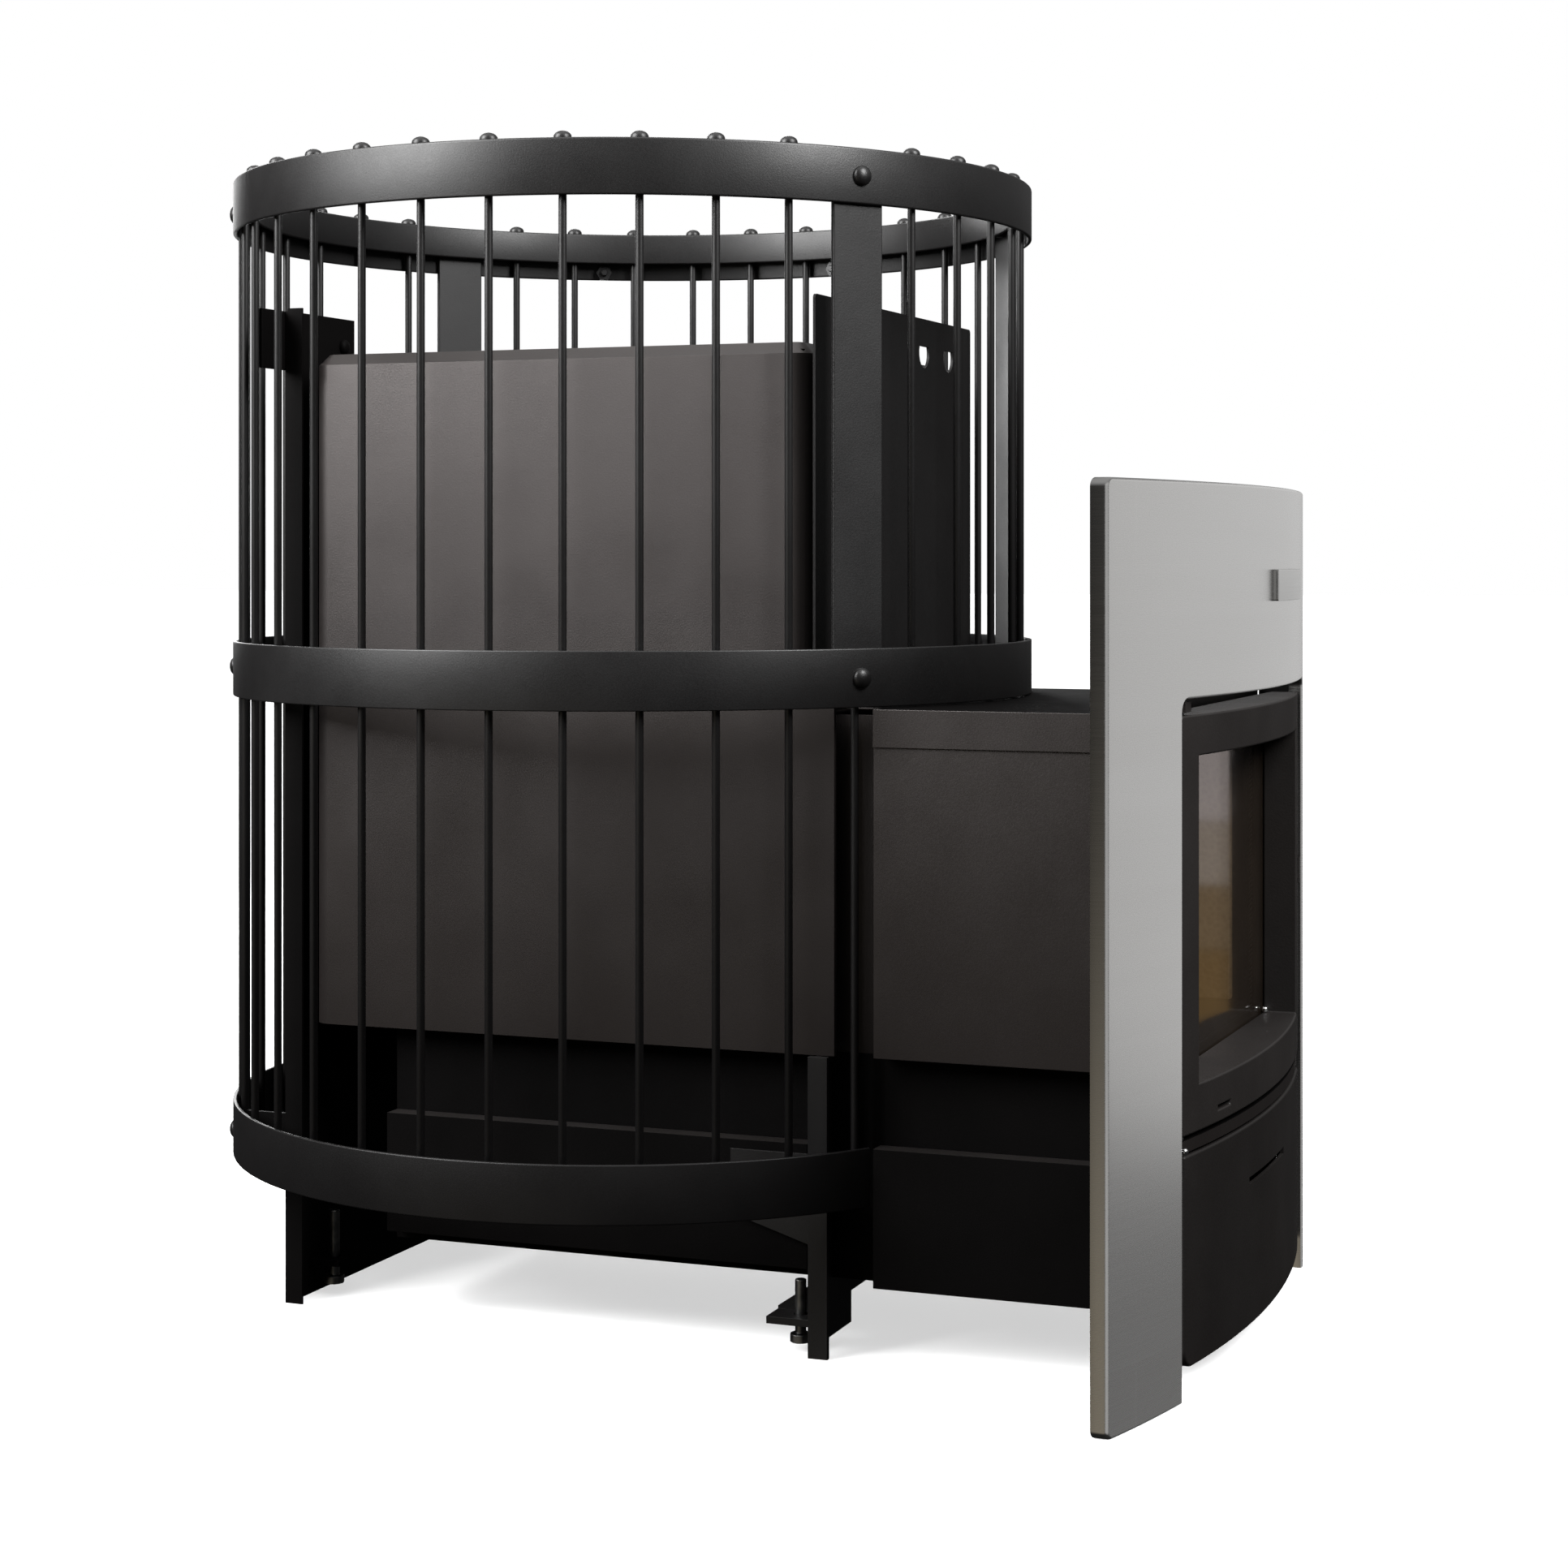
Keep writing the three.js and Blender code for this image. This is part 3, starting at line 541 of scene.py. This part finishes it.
def cage_uprights():
    """The front flat bars end on the lower rods, and the rear ones on the bottom ring's lip."""
    inner, outer = UPRIGHT_R
    for deg, side in UPRIGHTS.items():
        foot = LOWER_ROD_TOP + 0.6 if off_front(deg) < 90 else ROD_FOOT
        bm = block((-20, 20), (-outer, -inner), (foot, TOP_RING[1] - 3.3))
        turn = Matrix.Rotation(math.radians(deg), 3, "Z")
        bmesh.ops.rotate(bm, cent=at(0, 0, 0), matrix=turn, verts=bm.verts)
        replaced = [f"cage_upright_{side}"]
        bar = settle(f"upright_{side}", bm, BLACK, 30, stands_for=replaced, slot="black_coat")
        softened(bar, 0.9, 3)


def ring_bolts():
    """Domed bolts through the rings, with a hexagon nut and the thread's end inside."""
    head_line = [(0, -1.0), (6.9, -1.0), (7.0, 0.4)] + dome(7.0, 4.3, 0.6)
    head = shaded(mesh_from(spun(head_line, 28), "bolt_head"), 50)
    nut_line = [(0, 0), (6.6, 0), (7.0, 0.5), (7.0, 4.8), (6.6, 5.3)]
    thread_line = [(3.2, 5.3), (3.0, 8.2), (2.4, 8.8), (0, 8.8)]
    nut = shaded(mesh_from(spun(nut_line + thread_line, 6), "bolt_nut"), 30)

    def outward_at(deg):
        return Vector((math.sin(math.radians(deg)), -math.cos(math.radians(deg)), 0))

    for deg, side in UPRIGHTS.items():
        out = outward_at(deg)
        heights = {"top": sum(TOP_RING) / 2, "middle": sum(MIDDLE_RING) / 2}
        if off_front(deg) > 90:
            heights["bottom"] = BOTTOM_RING[0] + 10
        for ring, z in heights.items():
            outer_point = at(CAGE_R * out.x, CAGE_R * out.y, z)
            pinned(head, f"ring_bolt_{ring}_{side}", out, outer_point, BOLT_BLACK)
            inner_point = at(UPRIGHT_R[0] * out.x, UPRIGHT_R[0] * out.y, z)
            pinned(nut, f"ring_nut_{ring}_{side}", -out, inner_point, BOLT_BLACK)

    joint_r = CAGE_R - BAND_THICK
    for deg in (85, 125):
        out = outward_at(deg - 5)
        pinned(nut, f"ring_joint_nut_{deg:03d}", -out, at(joint_r * out.x, joint_r * out.y, 788), BOLT_BLACK)


def weld_beads():
    """The rods that pass or end on the front of the middle ring are welded to it."""
    for deg in PLACES:
        if off_front(deg) < 40:
            weld_bead(f"weld_{deg:03d}", deg, 450, 474 if off_front(deg) < TUNNEL_DEG else 465)


cage_rings()
cage_rods()
cage_uprights()
ring_bolts()
weld_beads()

# ---------------- curved front

def round_edges(bm, edges, radius, segments):
    bmesh.ops.bevel(bm, geom=edges, offset=radius, segments=segments, profile=0.5,
                    affect="EDGES", offset_type="OFFSET")


def grid_form(xs, zs, kept, back, corners=(), fold=0.0, fold_segments=3):
    """A flat form on a grid of cells in x and z, drawn back by `back` at its outline.

    Its face is at depth 0. Points are (x, depth, z) in millimetres, still flat. `corners` gives
    (x, z, radius) for outline corners to be rounded, and fold rounds the edge between face and return.
    """
    bm = bmesh.new()
    grid = {}

    def vertex(i, j):
        if (i, j) not in grid:
            grid[i, j] = bm.verts.new((xs[i], 0, zs[j]))
        return grid[i, j]

    for i in range(len(xs) - 1):
        for j in range(len(zs) - 1):
            if kept((xs[i] + xs[i + 1]) / 2, (zs[j] + zs[j + 1]) / 2):
                bm.faces.new((vertex(i, j), vertex(i + 1, j), vertex(i + 1, j + 1), vertex(i, j + 1)))
    rim = [e for e in bm.edges if e.is_boundary]
    drawn = bmesh.ops.extrude_edge_only(bm, edges=rim)
    moved = [v for v in drawn["geom"] if isinstance(v, bmesh.types.BMVert)]
    bmesh.ops.translate(bm, vec=(0, back, 0), verts=moved)
    for x, z, radius in corners:
        picked = []
        for e in bm.edges:
            a, b = e.verts
            at_corner = all(abs(v.co.x - x) < 1e-4 and abs(v.co.z - z) < 1e-4 for v in (a, b))
            if at_corner and abs(a.co.y - b.co.y) > 1:
                picked.append(e)
        round_edges(bm, picked, radius, 6)
    if fold:
        edges = []
        for e in bm.edges:
            if len(e.link_faces) == 2 and all(abs(v.co.y) < 1e-5 for v in e.verts):
                for f in e.link_faces:
                    f.normal_update()
                across, along = sorted(abs(f.normal.y) for f in e.link_faces)
                if across < 0.1 and along > 0.9:
                    edges.append(e)
        round_edges(bm, edges, fold, fold_segments)
    return bm


def steps_between(stops, step):
    """Grid lines at every stop and at even steps between them."""
    lines = []
    for low, high in zip(stops, stops[1:]):
        count = max(1, round((high - low) / step))
        lines += [low + (high - low) * k / count for k in range(count)]
    return lines + [stops[-1]]


def bend(bm, apex, flat_back=None, flat_from=None):
    """Lays a flat form on the curved front.

    Points deeper than flat_from are laid on a flat back instead, with depth 2 * flat_from at y = flat_back.
    """
    for v in bm.verts:
        x, depth, z = v.co
        if flat_back is not None and depth > flat_from:
            v.co = at(x, flat_back - (2 * flat_from - depth), z)
        else:
            v.co = at(x, arc_y(x, apex) + depth, z)


def sheet_piece(name, bm, thickness, material, apex, **options):
    """A form laid on the curved front as sheet of some thickness, in millimetres."""
    bend(bm, apex)
    obj = settle(name, bm, material, 40, merge=1e-7, **options)
    solid = obj.modifiers.new("sheet", "SOLIDIFY")
    solid.thickness = thickness * MM
    solid.offset = -1
    solid.use_even_offset = True
    return obj


def face_front(obj):
    """Turns a sheet's faces so that most of its area faces the user."""
    total = Vector()
    for p in obj.data.polygons:
        total += p.normal * p.area
    if total.y > 0:
        obj.data.flip_normals()


def mirrored(low, high, side):
    """A pair of faces between low and high, at the left (-1) or right (1)."""
    return sorted((side * low, side * high))


SIDES = {-1: "left", 1: "right"}


def front_surround():
    """The brushed surround with returned edges, open below for the door and drawer, and its four pads."""
    half, top = SURROUND["half"], SURROUND["top"]
    opening_half, opening_top = SURROUND["opening_half"], SURROUND["opening_top"]
    xs = steps_between([-half, -opening_half, opening_half, half], 10)
    zs = [0, 60, 226, opening_top, 520, top]
    corners = [(-half, top, 6), (half, top, 6), (-half, 0, 6), (half, 0, 6),
               (-opening_half, opening_top, 9), (opening_half, opening_top, 9)]
    bm = grid_form(xs, zs, lambda x, z: abs(x) > opening_half or z > opening_top, 11, corners, 2.2, 4)
    obj = sheet_piece("surround_sheet", bm, 1.9, STEEL, SURROUND["apex"],
                      stands_for=["front_surround"], slot="brushed_steel")
    face_front(obj)
    flat_normals(obj)
    for side, word in SIDES.items():
        for low, high in ((176, 206), (400, 451)):
            form = block(mirrored(196, 214, side), (-466, -436.3), (low, high))
            pad = settle(f"surround_pad_{word}_{low}", form, BLACK, slot="black_coat")
            softened(pad, 1.0)


def plaque():
    """A plain blank plate on the surround, above the door."""
    left, right, low, high = -6, 92, 513, 535
    corners = [(x, z, 1.5) for x in (left, right) for z in (low, high)]
    bm = grid_form(steps_between([left, right], 7), [low, high], lambda x, z: True, 4.2, corners, 0.7, 3)
    apex = SURROUND["apex"] - 3.9
    face_front(sheet_piece("blank_plaque", bm, 1.0, BADGE, apex, slot="brushed_steel"))


def door():
    """The door's cast frame: curved face, flat back, a deep window, and the ways for the air slide."""
    half, low, high = DOOR["half"], DOOR["low"], DOOR["high"]
    xs = steps_between([-half, -WINDOW["half"], WINDOW["half"], half], 9)
    zs = [low, WINDOW["low"], WINDOW["high"], high]
    deep = 20

    def on_frame(x, z):
        return abs(x) > WINDOW["half"] or z < WINDOW["low"] or z > WINDOW["high"]

    bm = grid_form(xs, zs, on_frame, deep, [(x, z, 3) for z in (low, high) for x in (-half, half)])
    back = bmesh.ops.duplicate(bm, geom=[f for f in bm.faces if all(abs(v.co.y) < 1e-5 for v in f.verts)])
    for v in back["geom"]:
        if isinstance(v, bmesh.types.BMVert):
            v.co.y = deep
    bend(bm, DOOR["apex"], DOOR["back"], deep / 2)
    obj = settle("door_casting", bm, IRON, 35, "door", ["door_frame"], "cast_iron", merge=1e-5)
    cut(obj,
        block((-140, -45), (-462, -452), (172, 187)),
        block((-122, -97), (-492, -461), (177, 180)),
        block((-100, -62), (-453, -448), (174.5, 184.5)))
    softened(obj, 1.3, 3)


def drawer():
    """The ash drawer: a curved front with a grip slot, and a thin pan behind it on two links."""
    half, low, high = DRAWER["half"], DRAWER["low"], DRAWER["high"]
    corner = 12
    grip_half = 56
    ends = half - corner - 1
    xs = steps_between([-half, -ends, -grip_half, grip_half, ends, half], 9)
    corners = [(x, low, corner) for x in (-half, half)] + [(x, high, 2) for x in (-half, half)]
    bm = grid_form(xs, [low, 60, 111, high], lambda x, z: True, 16, corners, 1.8, 4)
    obj = sheet_piece("drawer_front", bm, 2.6, DRAWER_IRON, DRAWER["apex"],
                      body="ash_drawer", stands_for=["ash_drawer"], slot="cast_iron")
    face_front(obj)
    apply_modifiers(obj)
    cut(obj, block((-grip_half, grip_half), (-492, -478), (114.6, 119.6)))
    flat_normals(obj)
    pan = block((-140, 140), (-462, -110), (56, 135))
    pan_obj = settle("ash_pan", pan, DEEP_BLACK, body="ash_drawer", slot="cast_iron")
    cut(pan_obj, block((-138.4, 138.4), (-460.4, -111.6), (57.6, 140)))
    softened(pan_obj, 0.5, 2)
    for side, word in SIDES.items():
        form = block(mirrored(60, 100, side), (-478.8, -462.2), (60, 100))
        softened(settle(f"pan_link_{word}", form, DEEP_BLACK, body="ash_drawer", slot="cast_iron"), 0.6)


front_surround()
plaque()
door()
drawer()

# ---------------- materials and soft edges on the CAD pieces that stay

# A material for each CAD piece that stays, and the width of its softened edges in millimetres.
KEPT = {
    "firebox_body": (GREY, 1.0), "tunnel_casing": (GREY, 0.5), "tunnel_cover": (GREY, 0.5),
    "front_heat_shield": (SHADE, 0.4), "rear_heat_shield": (DEEP_BLACK, 0.6), "rear_bracket": (DEEP_BLACK, 0.8),
    # The base's deep black is its paint and also painted shade under the stove.
    "base_frame": (DEEP_BLACK, 0.9), "front_legs": (SHADE, 0.8), "flue_collar": (DEEP_BLACK, 0.6),
    "baffle_plate": (BARE_IRON, 1.5), "grate": (BARE_IRON, 1.2),
    "firebrick_left": (BRICK, 2.0), "firebrick_right": (BRICK, 2.0), "firebrick_rear": (BRICK, 2.0),
    "door_glass": (GLASS, 0.5), "glass_retainer": (DEEP_BLACK, 0.5), "door_gasket": (ROPE, 1.5),
    "door_hinge_pin": (ZINC, 0.5), "catch_bolt": (ZINC, 0.8), "air_slide": (ZINC, 0.3),
    "levelling_screw_front_left": (DULL_ZINC, 0.8), "levelling_screw_front_right": (DULL_ZINC, 0.8),
    "levelling_screw_rear_left": (DULL_ZINC, 0.8), "levelling_screw_rear_right": (DULL_ZINC, 0.8),
}

# The upward faces of these sheets carry a second coat that paints light and shade: a deep, duller black on
# the firebox and tunnel tops is painted shade, and a lighter iron paint on the base's upward faces is
# painted light.
TOP_FACE_SHADE_AND_LIGHT = {"tunnel_cover": DEEP_BLACK, "firebox_body": DEEP_BLACK, "base_frame": DRAWER_IRON}


def dress(node, material, edge):
    """Gives a CAD piece its material, joins the flats of its faceted mesh and softens its edges."""
    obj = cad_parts[node]
    obj.data.materials.clear()
    obj.data.materials.append(material)
    if "custom_normal" in obj.data.attributes:
        obj.data.attributes.remove(obj.data.attributes["custom_normal"])
    weld = obj.modifiers.new("joined", "WELD")
    weld.merge_threshold = 0.00002
    flat = obj.modifiers.new("plain_faces", "DECIMATE")
    flat.decimate_type = "DISSOLVE"
    flat.angle_limit = math.radians(1.0)
    softened(obj, edge)
    shaded(obj.data)


def paint_tops_shade_or_light(node, material):
    """Gives the faces of a CAD piece that look up a second material, which paints light or shade on them."""
    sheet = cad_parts[node].data
    sheet.materials.append(material)
    for face in sheet.polygons:
        if face.normal.z > 0.9:
            face.material_index = 1


for node, (material, edge) in KEPT.items():
    dress(node, material, edge)
# Painted shade on the firebox and tunnel tops, painted light on the base's upward faces.
for node, coat in TOP_FACE_SHADE_AND_LIGHT.items():
    paint_tops_shade_or_light(node, coat)

# ---------------- small hardware

def hardware():
    """The chrome end of the hinge pin, the chrome glass screw, and the bolt of the rear bracket."""
    ball_line = [(0, -2.6), (1.6, -2.1), (2.5, -0.8), (2.6, 0.4), (2.0, 1.8), (0.9, 2.5), (0, 2.6)]
    ball = shaded(mesh_from(spun(ball_line, 20), "chrome_ball"))
    pinned(ball, "hinge_pin_end", (0, 0, 1), at(-182, -471, 160), CHROME)
    pinned(ball, "glass_clip_screw", (0, -1, 0), at(151, -451, 202.5), CHROME, "door")
    bolt_line = [(0, -1), (5.5, -1)] + dome(5.5, 3.2, 1.5)
    bolt = shaded(mesh_from(spun(bolt_line, 24), "bracket_bolt"), 50)
    pinned(bolt, "rear_bracket_bolt", (0, -1, 0), at(-95, 199, 702), DEEP_BLACK)


hardware()

# ---------------- floor, light and camera

STEEL_PIECES = ("surround_sheet", "blank_plaque")
ROOM_WHITE = (0.8, 0.8, 0.8)
EYE = (-2012.2, -920.8, 543.0)
LOOK = (0.9366, 0.3504, 0)


def studio_floor():
    """A wide sheet of pale paper that neither lights nor shades the stove."""
    mesh = bpy.data.meshes.new("studio_floor")
    reach = 40
    corners = [(-reach, -reach, 0), (reach, -reach, 0), (reach, reach, 0), (-reach, reach, 0)]
    mesh.from_pydata(corners, [], [(0, 1, 2, 3)])
    floor = bpy.data.objects.new("studio_floor", mesh)
    bpy.context.scene.collection.objects.link(floor)
    paper = Nodes("studio_paper")
    tone = paper.mixed(paper.noise(2.0), (0.93, 0.93, 0.93), (0.95, 0.95, 0.95))
    paper.finish(tone, paper.spread(paper.noise(5.0), 0.85, 0.95), Specular_IOR_Level=0.1)
    mesh.materials.append(paper.material)
    floor.visible_diffuse = False
    floor.visible_glossy = False
    floor.visible_shadow = False
    return floor


class WorldNodes:
    """A small writer of world shader nodes, all worked out from the direction of a ray."""

    def __init__(self, tree):
        self.tree = tree
        tree.nodes.clear()
        self.direction = self.node("ShaderNodeTexCoord").outputs["Generated"]
        parts = self.node("ShaderNodeSeparateXYZ")
        tree.links.new(self.direction, parts.inputs["Vector"])
        self.height = parts.outputs["Z"]

    def node(self, kind, **settings):
        made = self.tree.nodes.new(kind)
        for key, value in settings.items():
            setattr(made, key, value)
        return made

    def ramp(self, value, start, end, low, high):
        made = self.node("ShaderNodeMapRange", interpolation_type="SMOOTHSTEP")
        self.tree.links.new(value, made.inputs["Value"])
        for socket, number in zip(("From Min", "From Max", "To Min", "To Max"), (start, end, low, high)):
            made.inputs[socket].default_value = number
        return made.outputs["Result"]

    def combine(self, operation, first, second):
        made = self.node("ShaderNodeMath", operation=operation)
        self.tree.links.new(first, made.inputs[0])
        self.tree.links.new(second, made.inputs[1])
        return made.outputs["Value"]

    def towards(self, vector):
        """How nearly a ray points along a vector: 1 when it does."""
        made = self.node("ShaderNodeVectorMath", operation="DOT_PRODUCT")
        self.tree.links.new(self.direction, made.inputs[0])
        made.inputs[1].default_value = Vector(vector).normalized()
        return made.outputs["Value"]

    def background(self, colour, strength=None):
        made = self.node("ShaderNodeBackground")
        made.inputs["Color"].default_value = (*colour, 1)
        if strength is not None:
            self.tree.links.new(strength, made.inputs["Strength"])
        return made.outputs[0]

    def joined(self, kind, first, second, factor=None):
        made = self.node(kind)
        sockets = [socket for socket in made.inputs if socket.type == "SHADER"]
        self.tree.links.new(first, sockets[0])
        self.tree.links.new(second, sockets[1])
        if factor is not None:
            self.tree.links.new(factor, made.inputs["Fac"])
        return made.outputs[0]


def studio_world():
    """A dim room that is brighter overhead, with a pale wall and a warm floor, behind a white backdrop."""
    world = bpy.data.worlds.new("studio_world")
    bpy.context.scene.world = world
    world.use_nodes = True
    w = WorldNodes(world.node_tree)

    ceiling = w.ramp(w.height, 0.0, 0.9, 0.02, 0.5)
    wall_spot = w.ramp(w.towards((0.93, -0.36, 0.2)), 0.6, 0.97, 0.0, 0.12)
    wall = w.combine("MULTIPLY", wall_spot, w.ramp(w.height, -0.1, 0.15, 0.0, 1.0))
    white = w.background(ROOM_WHITE, w.combine("ADD", ceiling, wall))

    floor_spot = w.ramp(w.towards((-0.92, 0.33, -0.25)), 0.8, 0.98, 0.0, 0.3)
    wooden_floor = w.combine("MULTIPLY", floor_spot, w.ramp(w.height, -0.24, -0.10, 1.0, 0.0))
    beige = w.background((1.0, 0.88, 0.68), wooden_floor)

    lit_room = w.joined("ShaderNodeAddShader", white, beige)
    is_camera = w.node("ShaderNodeLightPath").outputs["Is Camera Ray"]
    seen = w.joined("ShaderNodeMixShader", lit_room, w.background((1, 1, 1)), is_camera)
    w.tree.links.new(seen, w.node("ShaderNodeOutputWorld").inputs["Surface"])


def aimed(name, light, position, target):
    """A lamp at a position, facing a target, that the camera does not see."""
    obj = bpy.data.objects.new(name, light)
    bpy.context.scene.collection.objects.link(obj)
    obj.location = position
    obj.rotation_mode = "QUATERNION"
    obj.rotation_quaternion = (Vector(target) - Vector(position)).to_track_quat("-Z", "Y")
    obj.visible_camera = False
    return obj


def linked(light, names, state):
    """Lets a lamp light only the named pieces (INCLUDE), or all but those (EXCLUDE)."""
    group = bpy.data.collections.new(light.name + "_receivers")
    for name in names:
        group.objects.link(bpy.data.objects[name])
    for member in group.collection_objects:
        member.light_linking.link_state = state
    light.light_linking.receiver_collection = group


def panel(name, width, tall, radiance, position, target, colour=(1, 1, 1)):
    """A flat rectangular lamp of an even radiance."""
    light = bpy.data.lights.new(name, "AREA")
    light.shape = "RECTANGLE"
    light.size, light.size_y = width, tall
    light.energy = radiance * math.pi * width * tall
    light.color = colour
    return aimed(name, light, position, target)


def softbox(name, azimuth, elevation, distance, width, tall, radiance, target):
    """A panel seen from the target at an azimuth from +X towards +Y and an elevation, in degrees."""
    a, e = math.radians(azimuth), math.radians(elevation)
    back = Vector((math.cos(a) * math.cos(e), math.sin(a) * math.cos(e), math.sin(e)))
    return panel(name, width, tall, radiance, Vector(target) + back * distance, target)


def glass_card(name, foot, head, radiance, colour):
    """A card between two heights, in millimetres, that is mirrored in the fire glass."""
    middle = (foot + head) / 2
    card = panel(name, 0.8, (head - foot) * MM, radiance,
                 at(1474, -1120, middle), at(504, -900, middle), colour)
    linked(card, ("door_glass",), "INCLUDE")


def studio_lights(floor):
    """Softboxes for the painted parts, cards for the steel and the glass, and two suns for the floor."""
    for softbox_sizes in (
        ("left_softbox", 138, 30, 2.1, 1.35, 1.75, 15.5, (-0.15, 0.1, 0.69)),
        ("right_softbox", 252, 32, 2.1, 0.9, 1.3, 18.0, (0, 0, 0.78)),
        ("top_softbox", 180, 84, 2.6, 2.2, 2.2, 1.2, (0, 0.1, 0.45)),
        ("back_softbox", 38, 22, 2.4, 1.6, 1.8, 6.0, (0.1, 0.15, 0.45)),
    ):
        linked(softbox(*softbox_sizes), STEEL_PIECES, "EXCLUDE")
    for card_sizes in (
        ("upper_card", 325, 0, 2.2, 3.6, 1.9, 0.68, (0, -0.38, 0.64)),
        ("lower_card", 325, 0, 2.2, 3.6, 1.2, 0.19, (0, -0.38, -0.91)),
        ("front_card", 235, 0, 2.4, 3.6, 3.4, 0.5, (0, -0.38, 0.2)),
    ):
        linked(softbox(*card_sizes), STEEL_PIECES, "INCLUDE")

    glass_card("pale_card", 215, 1100, 0.86, (1.0, 0.88, 0.84))
    glass_card("buff_card", 135, 214, 0.62, (1.0, 0.84, 0.70))
    glass_card("sand_card", 55, 134, 0.36, (1.0, 0.68, 0.36))
    glass_card("amber_card", -300, 54, 0.32, (1.0, 0.58, 0.18))
    glass_card("umber_card", -560, -301, 0.20, (1.0, 0.58, 0.20))

    for name, energy, shadow in (("floor_fill", 3.1, False), ("floor_light", 0.5, True)):
        sun = bpy.data.lights.new(name, "SUN")
        sun.energy = energy
        sun.angle = math.radians(50)
        sun.use_shadow = shadow
        linked(aimed(name, sun, (0, 0, 5), (0.2, 0.1, 0)), (floor.name,), "INCLUDE")


def photo_camera():
    """A level camera at the stove's left, with its frame shifted to hold the whole stove."""
    camera = bpy.data.cameras.new("photo_camera")
    camera.sensor_width = 36
    camera.lens = 66.665
    camera.shift_x = -0.0378
    camera.shift_y = -0.1441
    camera.clip_end = 100
    eye = bpy.data.objects.new("photo_camera", camera)
    bpy.context.scene.collection.objects.link(eye)
    eye.location = at(*EYE)
    eye.rotation_mode = "QUATERNION"
    eye.rotation_quaternion = Vector(LOOK).to_track_quat("-Z", "Y")
    bpy.context.scene.camera = eye


bpy.context.scene.view_settings.view_transform = "Standard"
bpy.context.scene.view_settings.look = "None"
studio_world()
studio_lights(studio_floor())
photo_camera()
